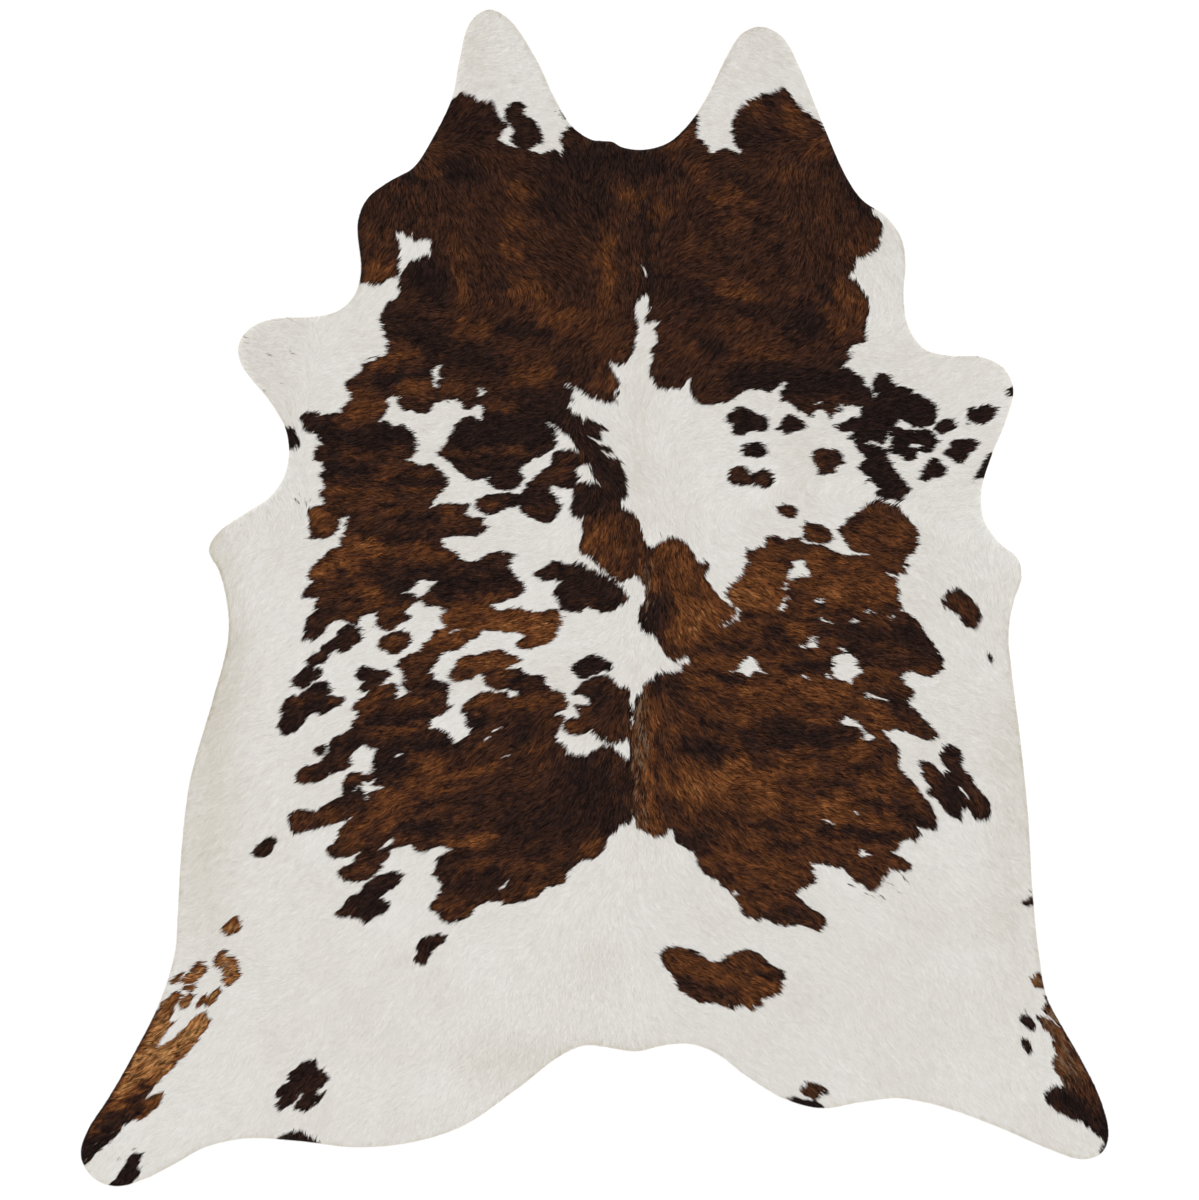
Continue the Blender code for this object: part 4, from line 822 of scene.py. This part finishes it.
def brushed(tone):
    """The tone with the brindle brushed on, from broad strokes to fine ones."""
    y, x = sheet_places()
    wavy_x, wavy_y = wavered(x), wavered(y)
    for xa, ya, xb, yb, width, mark in sorted(BRINDLE, key=lambda row: -row[4]):
        wide = width + BRUSH_MARGIN
        rows = slice(max(0, min(ya, yb) - wide), min(SHEET_STEPS, max(ya, yb) + wide))
        cols = slice(max(0, min(xa, xb) - wide), min(SHEET_STEPS, max(xa, xb) + wide))
        off_x, off_y = wavy_x[rows, cols] - xa, wavy_y[rows, cols] - ya
        run_x, run_y = xb - xa, yb - ya
        along = np.clip((off_x * run_x + off_y * run_y) / max(run_x ** 2 + run_y ** 2, 1), 0, 1)
        away = ((off_x - along * run_x) ** 2 + (off_y - along * run_y) ** 2) / (BRUSH_REACH * width) ** 2
        laid = BRUSH_COVER * np.exp(-(away ** BRUSH_FALL))
        tone[rows, cols] = tone[rows, cols] * (1 - laid) + mark * laid
    return tone


def markings(lie):
    """Fields over the sheet: share of dark coat, tone of the dark coat, tone of the white coat."""
    def by_step(cells):
        return cells[::CELLS, ::CELLS]

    dark, middle, rim = drawn_patches()
    near = by_step(softened(dark, 5))
    rim = by_step(softened(rim, 4))
    middle = by_step((softened(middle * dark, 6) + 1e-4 * middle) / (softened(dark, 6) + 1e-4))
    y, x = sheet_places()

    tone = brushed(middle.copy())
    brindle = combed(cloud(5.0), lie, 9)
    mottle = combed(cloud(2.0), lie, 4)
    grain = combed(fine_noise(), lie, 3)
    uneven = np.clip(0.15 + 1.8 * tone, 0.3, 1.0) - 0.5 * np.clip(tone - 0.62, 0, 0.3)
    calm = 1 - NECK_CALM * fallen(y, NECK_END, NECK_FADE)
    highest = np.maximum(tone, 0.72) + 0.07
    fine = GRAIN_SHARE + TAN_GRAIN_SHARE * risen(tone, 0.76, 0.14)
    change = BRINDLE_SHARE * brindle + MOTTLE_SHARE * mottle + fine * grain
    tone = np.minimum(tone + uneven * calm * change, highest)
    edge = fallen(near, 0.97, 0.42) * rim
    # painted shade along the cut edge, on the dark coat
    cut = fallen(by_step(softened(INSIDE, 5)), 0.97, 0.40)
    tone = np.clip(tone, 0.03, 1.0) * (1 - RIM_DARKER * edge) * (1 - PAINTED_CUT_SHADE * cut) + 0.01

    streaks = 1 - RUMP_CALM * risen(y, RUMP_START, RUMP_FADE)
    white = WHITE_MIDDLE + 0.008 * cloud(40)
    white = white + streaks * (0.010 * combed(cloud(2.5), lie, 5) + 0.010 * grain)
    # cream tint, and painted shade toward the hide's edges, from WHITE_PLACES
    for px, py, across, along, shift in WHITE_PLACES:
        white += shift * np.exp(-((x - px) / across) ** 2 - ((y - py) / along) ** 2)
    # painted shade along the cut edge: the white coat greyer there
    white += 0.10 * fallen(by_step(softened(INSIDE, 4)), 0.96, 0.45)
    return dark, np.clip(tone, 0.0, 1.0), np.clip(white, 0.0, 0.30)


# ---------------------------------------------------------------- the hide's own form

def on_hide(x, y):
    """Metres on the hide from a place on the sheet."""
    return (x - SHEET_MID[0]) * STEP, (SHEET_MID[1] - y) * STEP


def on_sheet(x, y):
    """Place on the sheet from metres on the hide."""
    return x / STEP + SHEET_MID[0], SHEET_MID[1] - y / STEP


def inside_share(x, y):
    """How far places on the hide are inside the cut edge: over 0.5 inside, under 0.5 outside."""
    return read_at(INSIDE, *on_sheet(x, y), CELLS)


def cut_edge(node):
    """The cut edge's own points, in order and anticlockwise, from the underside of the solid."""
    shape = bmesh.new()
    shape.from_mesh(node.data)
    bmesh.ops.remove_doubles(shape, verts=shape.verts, dist=1e-6)
    shape.faces.ensure_lookup_table()
    following = {}
    for edge in shape.edges:
        flats = [f for f in edge.link_faces if f.normal.z < -0.9 and f.calc_center_median().z < 1e-4]
        if len(flats) == 1 and len(edge.link_faces) == 2:
            a, b = edge.verts
            following.setdefault(a, []).append(b)
            following.setdefault(b, []).append(a)
    start = min(following, key=lambda v: (v.co.x, v.co.y))
    ring, last = [start], None
    while True:
        ahead = [v for v in following[ring[-1]] if v is not last]
        last = ring[-1]
        if ahead[0] is start or (len(ring) > 2 and start in ahead):
            break
        ring.append(ahead[0])
    places = np.array([v.co.xy for v in ring])
    shape.free()
    return places[::-1] if signed_area(places) < 0 else places


def signed_area(ring):
    """The ring's area, below 0 for one that runs clockwise."""
    x, y = ring[:, 0], ring[:, 1]
    return 0.5 * float(np.sum(x * np.roll(y, -1) - np.roll(x, -1) * y))


def rounded(ring, parts):
    """The ring with extra points on a smooth curve through its own."""
    before, after, beyond = np.roll(ring, 1, 0), np.roll(ring, -1, 0), np.roll(ring, -2, 0)
    slope = after - before
    bend = 2 * before - 5 * ring + 4 * after - beyond
    twist = 3 * ring - before - 3 * after + beyond
    shares = [k / parts for k in range(parts)]
    made = [0.5 * (2 * ring + slope * t + bend * t ** 2 + twist * t ** 3) for t in shares]
    return np.stack(made, axis=1).reshape(-1, 2)


def inset(ring, amount):
    """The ring moved inward, for a ring that runs anticlockwise."""
    along = np.roll(ring, -1, 0) - np.roll(ring, 1, 0)
    along /= np.linalg.norm(along, axis=1, keepdims=True)
    return ring + np.stack([-along[:, 1], along[:, 0]], axis=1) * amount


def height_field(node):
    """Height of the solid's hair side over the sheet, with the flats of its faces smoothed."""
    mesh = node.data
    tree = BVHTree.FromPolygons([v.co[:] for v in mesh.vertices], [p.vertices[:] for p in mesh.polygons])
    count = SHEET_STEPS // RELIEF_PITCH
    field = np.full((count, count), np.nan, dtype=np.float32)
    down = Vector((0, 0, -1))
    for row in range(count):
        for col in range(count):
            x, y = on_hide(col * RELIEF_PITCH, row * RELIEF_PITCH)
            hit = tree.ray_cast(Vector((x, y, WELL_ABOVE)), down)[0]
            if hit is not None:
                field[row, col] = hit.z
    for _ in range(RELIEF_ROUNDS):
        empty = np.isnan(field)
        padded = np.pad(field, 1, constant_values=np.nan)
        around = np.stack([padded[1:-1, :-2], padded[1:-1, 2:], padded[:-2, 1:-1], padded[2:, 1:-1]])
        known = ~np.isnan(around)
        mean = np.where(known, around, 0).sum(0) / np.maximum(known.sum(0), 1)
        field = np.where(empty & known.any(0), mean, field)
    field = np.where(np.isnan(field), np.nanmin(field), field)
    return softened(field.astype(np.float32), 1)


def skin_height(x, y):
    """Height of the skin's hair side at places on the hide."""
    over = read_at(RELIEF, *on_sheet(np.asarray(x), np.asarray(y)), 1.0 / RELIEF_PITCH)
    return np.maximum(over - COAT_DEPTH, SKIN_EDGE)


def grid_points(pitch, ring):
    """Staggered points inside the ring and clear of it."""
    low, high = ring.min(0), ring.max(0)
    rows = np.arange(low[1], high[1], pitch * 0.866)
    made = []
    for k, y in enumerate(rows):
        x = np.arange(low[0] + (k % 2) * pitch / 2, high[0], pitch)
        made.append(np.stack([x, np.full_like(x, y)], axis=1))
    made = np.concatenate(made)
    made += draw.uniform(-POINT_SWAY, POINT_SWAY, made.shape) * pitch
    made = made[inside_share(made[:, 0], made[:, 1]) > 0.5]
    keep = np.ones(len(made), dtype=bool)
    batch = 4000
    for start in range(0, len(made), batch):
        part = made[start:start + batch]
        gap = ((part[:, None, :] - ring[None, :, :]) ** 2).sum(-1).min(1)
        keep[start:start + batch] = gap > (pitch * POINT_CLEAR) ** 2
    return made[keep]


def faces_within(ring, loose):
    """Triangles over a ring and loose points inside it."""
    both = np.concatenate([ring, loose])
    edges = [(k, (k + 1) % len(ring)) for k in range(len(ring))]
    found = delaunay_2d_cdt([Vector(p) for p in both], edges, [], 1, 1e-9)
    order = [origin[0] if origin else -1 for origin in found[3]]
    return both, [[order[i] for i in face] for face in found[2]]


# ---------------------------------------------------------------- pieces

def placed(name, data):
    """A mesh, light or camera as an object of the scene."""
    piece = bpy.data.objects.new(name, data)
    bpy.context.scene.collection.objects.link(piece)
    return piece


def mesh_piece(name, verts, faces, materials):
    """An object made from its points, faces and materials."""
    mesh = bpy.data.meshes.new(name)
    mesh.from_pydata([tuple(v) for v in verts], [], faces)
    for material in materials:
        mesh.materials.append(material)
    return placed(name, mesh)


def skin_piece(name, ring, hair_side, flesh_side):
    """The tanned skin: hair side, cut edge and flesh side, closed all round."""
    top_flat, top_faces = faces_within(inset(ring, CUT_BEVEL), grid_points(SKIN_PITCH, ring))
    low_flat, low_faces = faces_within(ring, grid_points(FLESH_PITCH, ring))
    top_z = skin_height(top_flat[:, 0], top_flat[:, 1])
    low_z = np.maximum(skin_height(low_flat[:, 0], low_flat[:, 1]) - SKIN_THICKNESS, 0.0)
    count, edge_count = len(top_flat), len(ring)
    middle_z = top_z[:edge_count] - CUT_BEVEL
    verts = np.concatenate([np.column_stack([top_flat, top_z]), np.column_stack([ring, middle_z]),
                            np.column_stack([low_flat, low_z])])
    low_start = count + edge_count
    upper = [list(f) for f in top_faces]
    lower = []
    for k in range(edge_count):
        n = (k + 1) % edge_count
        upper.append([count + k, count + n, n, k])
        lower.append([low_start + k, low_start + n, count + n, count + k])
    lower += [[low_start + i for i in reversed(f)] for f in low_faces]
    piece = mesh_piece(name, verts, upper + lower, [hair_side, flesh_side])
    mesh = piece.data
    mesh.polygons.foreach_set("material_index", [0] * len(upper) + [1] * len(lower))
    mesh.polygons.foreach_set("use_smooth", [True] * len(mesh.polygons))
    tone = mesh.attributes.new("coat", "FLOAT", "POINT")
    tone.data.foreach_set("value", tone_for(*on_sheet(verts[:, 0], verts[:, 1])).astype(np.float32))
    mesh.update()
    return piece


def hair_piece(name, corners, coat, material):
    """A stretch of coat: one pointed face to a lock, its tone and painted light in the OFBake map."""
    count = len(corners)
    mesh = bpy.data.meshes.new(name)
    mesh.vertices.add(count * 3)
    mesh.vertices.foreach_set("co", corners.astype(np.float32).ravel())
    mesh.loops.add(count * 3)
    mesh.loops.foreach_set("vertex_index", np.arange(count * 3, dtype=np.int32))
    mesh.polygons.add(count)
    mesh.polygons.foreach_set("loop_start", np.arange(0, count * 3, 3, dtype=np.int32))
    uv = mesh.uv_layers.new(name="OFBake")
    uv.data.foreach_set("uv", coat.astype(np.float32).ravel())
    mesh.materials.append(material)
    mesh.update()
    mesh.validate()
    return placed(name, mesh)


def tone_for(x, y):
    """Place on the coat's colour scale at places on the sheet: white coat under 0.3, dark over 0.35."""
    share = read_at(DARK, x, y, CELLS)
    dark_tone = 0.36 + 0.64 * read_at(DARK_TONE, x, y) ** 1.15
    return np.where(share > 0.5, dark_tone, read_at(WHITE_TONE, x, y))


def lock_roots():
    """Roots on the hide: staggered rows, each root a little astray, inside the cut edge."""
    low, high = EDGE_RING.min(0), EDGE_RING.max(0)
    rows = np.arange(low[1], high[1], HAIR_PITCH)
    x, y = np.meshgrid(np.arange(low[0], high[0], HAIR_PITCH), rows)
    x = x + (np.arange(len(rows)) % 2)[:, None] * HAIR_PITCH / 2
    x = (x + draw.uniform(-0.5, 0.5, x.shape) * HAIR_PITCH).ravel()
    y = (y + draw.uniform(-0.5, 0.5, y.shape) * HAIR_PITCH).ravel()
    keep = inside_share(x, y) > 0.5
    return x[keep], y[keep]


def mixed_hair(x, y):
    """Which locks, by their roots' places on the sheet, are a mixture of both coats' hair."""
    fibre = read_at(combed(fine_noise(), LIE, 7), x, y)
    luck = 0.5 * (1 + np.tanh(0.8 * (0.95 * fibre + 0.3 * draw.standard_normal(len(x)))))
    mixed = np.zeros(len(x), dtype=bool)
    for px, py, across, along, amount in ROAN_PLACES:
        mixed |= luck < amount * np.exp(-((x - px) / across) ** 2 - ((y - py) / along) ** 4)
    return mixed


def hair_locks():
    """Every lock's corners on the hide, their places on the coat's map, and its root down the sheet."""
    x, y = lock_roots()
    sx, sy = on_sheet(x, y)
    count = len(x)

    heading = np.arctan2(-read_at(LIE[1], sx, sy), read_at(LIE[0], sx, sy))
    tuft = read_at(cloud(TUFT_SCALE), sx, sy)
    heading += np.radians(LOCK_SWAY) * tuft + np.radians(LOCK_SWAY) * draw.standard_normal(count)
    ux, uy = np.cos(heading), np.sin(heading)
    length = draw.uniform(*HAIR_LENGTH, count)
    for share in HAIR_TRIMS:
        ahead = length - EDGE_HANG
        past = inside_share(x + ux * ahead, y + uy * ahead) < 0.5
        length = np.where(past, length * share / TRIM_EASE, length)
    width = draw.uniform(*HAIR_WIDTH, count)

    teeth = read_at(combed(cloud(1.2), LIE, 3), sx, sy)
    ahead = length / STEP * SEEN_AT + TEETH * teeth + draw.uniform(-0.5, 0.5, count)
    seen_x = sx + ux * ahead + PATCH_WAVER * read_at(cloud(4.0), sx, sy)
    seen_y = sy - uy * ahead + PATCH_WAVER * read_at(cloud(4.0), sx, sy)
    tone = tone_for(seen_x, seen_y)
    is_dark = tone > DARK_OVER
    roan = is_dark & mixed_hair(sx, sy)
    is_dark = is_dark & ~roan
    tan = risen(tone, 0.80, 0.14)
    spread = np.where(is_dark, TONE_SPREAD + TAN_SPREAD * tan, WHITE_SPREAD)
    tone = tone + spread * draw.standard_normal(count)
    tone = np.where(is_dark, np.clip(tone, *DARK_TONES), np.clip(tone, *WHITE_TONES))
    tone = np.where(roan, ROAN_TONE, tone)

    tip_x, tip_y = x + ux * length, y + uy * length
    lift = draw.uniform(*HAIR_LIFT, count) * np.clip(length / HAIR_LENGTH[0], 0.3, 1.0)
    tip = np.stack([tip_x, tip_y, skin_height(tip_x, tip_y) + lift], axis=1)
    roll = np.radians(HAIR_ROLL) * draw.uniform(-1, 1, count) * np.where(is_dark, 1.0, WHITE_ROLL)
    side = np.stack([-uy * np.cos(roll), ux * np.cos(roll), np.sin(roll)], axis=1) * (width / 2)[:, None]
    root = np.stack([x, y, skin_height(x, y) + ROOT_CLEAR + np.abs(side[:, 2])], axis=1)
    corners = np.stack([root - side, root + side, tip], axis=1)

    # painted sheen and painted glints: lighter and darker streaks along the hair, painted into each lock's
    # light in place of gloss
    painted_sheen = read_at(combed(fine_noise(), LIE, 3), seen_x, seen_y)
    painted_glints = read_at(combed(cloud(2.0), LIE, 3), seen_x, seen_y)
    strong = np.where(is_dark, PAINTED_SHEEN + TAN_PAINTED_SHEEN * tan, WHITE_PAINTED_SHEEN)
    light = LIGHT_MIDDLE + strong * painted_sheen + np.where(is_dark, PAINTED_GLINT, 0.0) * painted_glints
    light = light + np.where(is_dark, LOCK_LIGHT, WHITE_LOCK) * draw.standard_normal(count)
    coat = np.empty((count, 3, 2))
    # painted shade at the two root corners, painted light at the tip
    coat[:, 0] = np.stack([tone - TONE_EDGE, light - ROOT_SHADE], axis=1)
    coat[:, 1] = np.stack([tone + TONE_EDGE, light - ROOT_SHADE], axis=1)
    coat[:, 2] = np.stack([tone, light + TIP_LIGHT], axis=1)
    return corners, np.clip(coat, 0.001, 0.999), sy


# ---------------------------------------------------------------- finishes

def linear(code):
    """Linear RGBA from an sRGB hex value."""
    parts = [int(code[k:k + 2], 16) / 255 for k in (1, 3, 5)]
    return tuple(p / 12.92 if p <= 0.04045 else ((p + 0.055) / 1.055) ** 2.4 for p in parts) + (1.0,)


def node(material, kind, settings=None, **links):
    """Adds a node with its settings; a link is input_name=(node, output) or a plain value.
    An input goes by its name, or by its number after an i."""
    made = material.node_tree.nodes.new(kind)
    for key, value in (settings or {}).items():
        setattr(made, key, value)
    for key, value in links.items():
        by_number = key[0] == "i" and key[1:].isdigit()
        socket = made.inputs[int(key[1:]) if by_number else key.replace("_", " ")]
        if isinstance(value, tuple) and len(value) == 2 and hasattr(value[0], "outputs"):
            material.node_tree.links.new(value[0].outputs[value[1]], socket)
        else:
            socket.default_value = value
    return made


def new_finish(name):
    """A material with nothing in it yet."""
    material = bpy.data.materials.new(name)
    material.use_nodes = True
    material.node_tree.nodes.clear()
    return material


def close_finish(material, shader):
    """The material with its shader as the surface."""
    out = material.node_tree.nodes.new("ShaderNodeOutputMaterial")
    material.node_tree.links.new(shader.outputs[0], out.inputs["Surface"])
    return material


def set_scale(ramp, stops):
    """Colours along a scale, from rows of place and hex value."""
    bar = ramp.color_ramp
    while len(bar.elements) > 1:
        bar.elements.remove(bar.elements[-1])
    bar.elements[0].position, bar.elements[0].color = stops[0][0], linear(stops[0][1])
    for place, code in stops[1:]:
        bar.elements.new(place).color = linear(code)


def coat_finish():
    """Short cattle hair, as grown: a glossy cuticle over brown, black-brown or white hair.
    To the eye it is satin, from a little real gloss and from painted sheen and glints along streaks of the
    hair;
    it has painted shade at the roots and painted light at the tips, and each lock is a little lighter or
    darker."""
    material = new_finish("cattle_hair_satin_painted_sheen")
    place = node(material, "ShaderNodeUVMap", {"uv_map": "OFBake"})
    parts = node(material, "ShaderNodeSeparateXYZ", Vector=(place, "UV"))
    scale = node(material, "ShaderNodeValToRGB", Fac=(parts, "X"))
    set_scale(scale, COAT_SCALE)
    # painted light from the map's second part: sheen, glints, root shade and tip light, multiplied into the
    # colour
    light = node(material, "ShaderNodeMapRange", None, Value=(parts, "Y"),
                 To_Min=LIGHT_RANGE[0], To_Max=LIGHT_RANGE[1])
    shade = node(material, "ShaderNodeMix", {"data_type": "RGBA", "blend_type": "MULTIPLY"},
                 i0=1.0, i6=(scale, "Color"), i7=(light, "Result"))
    rough = node(material, "ShaderNodeMapRange", None, Value=(parts, "X"),
                 From_Min=0.30, From_Max=0.36, To_Min=0.60, To_Max=0.46)
    shader = node(material, "ShaderNodeBsdfPrincipled", None, Base_Color=(shade, 2),
                  Roughness=(rough, "Result"), IOR=1.55, Specular_IOR_Level=0.04)
    return close_finish(material, shader)


def skin_finish():
    """Chrome-tanned cattle skin, hair side: the grain that shows between the hairs, matt and close to
    their colour, with pores about a millimetre apart."""
    material = new_finish("tanned_skin_hair_side")
    coat = node(material, "ShaderNodeAttribute", {"attribute_name": "coat"})
    scale = node(material, "ShaderNodeValToRGB", Fac=(coat, "Fac"))
    set_scale(scale, COAT_SCALE)
    where = node(material, "ShaderNodeTexCoord")
    pores = node(material, "ShaderNodeTexVoronoi", None, Vector=(where, "Object"), Scale=PORES)
    bump = node(material, "ShaderNodeBump", None, Height=(pores, "Distance"), Strength=0.3, Distance=0.0003)
    shader = node(material, "ShaderNodeBsdfPrincipled", None, Base_Color=(scale, "Color"), Roughness=0.75,
                  Normal=(bump, "Normal"))
    return close_finish(material, shader)


def flesh_finish():
    """Chrome-tanned cattle skin, flesh side, buffed to suede: pale grey-buff nap, matt and cloudy."""
    material = new_finish("suede_flesh_side")
    where = node(material, "ShaderNodeTexCoord")
    nap = node(material, "ShaderNodeTexNoise", None, Vector=(where, "Object"), Scale=NAP, Detail=4.0)
    cloudy = node(material, "ShaderNodeTexNoise", None, Vector=(where, "Object"), Scale=9.0, Detail=5.0)
    both = node(material, "ShaderNodeMix", {"data_type": "FLOAT"},
                i0=0.35, i2=(cloudy, "Fac"), i3=(nap, "Fac"))
    scale = node(material, "ShaderNodeValToRGB", Fac=(both, 0))
    set_scale(scale, [(0.25, "#A89C8B"), (0.5, "#C3B8A6"), (0.75, "#D6CCBC")])
    bump = node(material, "ShaderNodeBump", None, Height=(nap, "Fac"), Strength=0.5, Distance=0.0006)
    rough = node(material, "ShaderNodeMapRange", None, Value=(cloudy, "Fac"), To_Min=0.85, To_Max=1.0)
    shader = node(material, "ShaderNodeBsdfPrincipled", None, Base_Color=(scale, "Color"),
                  Roughness=(rough, "Result"), Normal=(bump, "Normal"))
    return close_finish(material, shader)


def floor_finish():
    """Painted studio board: matt and white."""
    material = new_finish("white_studio_board")
    where = node(material, "ShaderNodeTexCoord")
    grain = node(material, "ShaderNodeTexNoise", None, Vector=(where, "Object"), Scale=40.0)
    scale = node(material, "ShaderNodeValToRGB", Fac=(grain, "Fac"))
    set_scale(scale, [(0.0, "#F8F8F8"), (1.0, "#FBFBFB")])
    shader = node(material, "ShaderNodeBsdfPrincipled", None, Base_Color=(scale, "Color"), Roughness=0.9)
    return close_finish(material, shader)


# ---------------------------------------------------------------- making it

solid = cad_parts["hide"]
EDGE_RING = rounded(cut_edge(solid), EDGE_PARTS)
INSIDE = np.zeros((SHEET_STEPS * CELLS, SHEET_STEPS * CELLS), dtype=np.float32)
hide_rows, hide_cols, hide_mask = filled(np.stack(on_sheet(EDGE_RING[:, 0], EDGE_RING[:, 1]), axis=1))
INSIDE[hide_rows, hide_cols] = hide_mask
RELIEF = height_field(solid)

LIE = lie_field()
DARK, DARK_TONE, WHITE_TONE = markings(LIE)

skin = skin_piece("hide_skin", EDGE_RING, skin_finish(), flesh_finish())
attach(skin, "root")
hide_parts("hide")

corners, coat, root_y = hair_locks()
coat_material = coat_finish()
limits = np.quantile(root_y, np.linspace(0, 1, len(BELTS) + 1))
for k, belt in enumerate(BELTS):
    here = (root_y >= limits[k]) & ((root_y < limits[k + 1]) | (k == len(BELTS) - 1))
    piece = hair_piece(belt, corners[here], coat[here], coat_material)
    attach(piece, "root")
    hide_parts("hide")

# ---------------------------------------------------------------- floor, light and camera

reach, low = FLOOR_REACH, -FLOOR_GAP
floor_corners = [(-reach, -reach, low), (reach, -reach, low), (reach, reach, low), (-reach, reach, low)]
floor = mesh_piece("floor", floor_corners, [(0, 1, 2, 3)], [floor_finish()])

world = bpy.data.worlds.new("studio")
world.use_nodes = True
background = world.node_tree.nodes["Background"]
background.inputs["Color"].default_value = (1.0, 1.0, 1.0, 1.0)
background.inputs["Strength"].default_value = STUDIO_GLOW
bpy.context.scene.world = world


def soft_light(name, azimuth, elevation, strength, spread=70.0):
    """An even soft light from one side, as from a wide screen; angles in degrees, azimuth 0 from the tail."""
    data = bpy.data.lights.new(name, "SUN")
    data.angle, data.energy = math.radians(spread), strength
    a, e = math.radians(azimuth), math.radians(elevation)
    away = Vector((math.sin(a) * math.cos(e), -math.cos(a) * math.cos(e), math.sin(e)))
    placed(name, data).rotation_euler = away.to_track_quat("Z", "Y").to_euler()


soft_light("light_neck", 160, 48, 1.56)
soft_light("light_left", 265, 45, 1.02)
soft_light("light_right", 80, 45, 0.92)
soft_light("light_tail", 350, 45, 1.02)

camera_data = bpy.data.cameras.new("camera")
camera_data.sensor_width = SENSOR_WIDTH
camera_data.lens = LENS
camera_data.clip_end = 60.0
camera = placed("camera", camera_data)
camera.location = (*on_hide(*VIEW_MID), VIEW_STEPS * STEP * LENS / SENSOR_WIDTH)
bpy.context.scene.camera = camera
bpy.context.scene.view_settings.view_transform = "Standard"
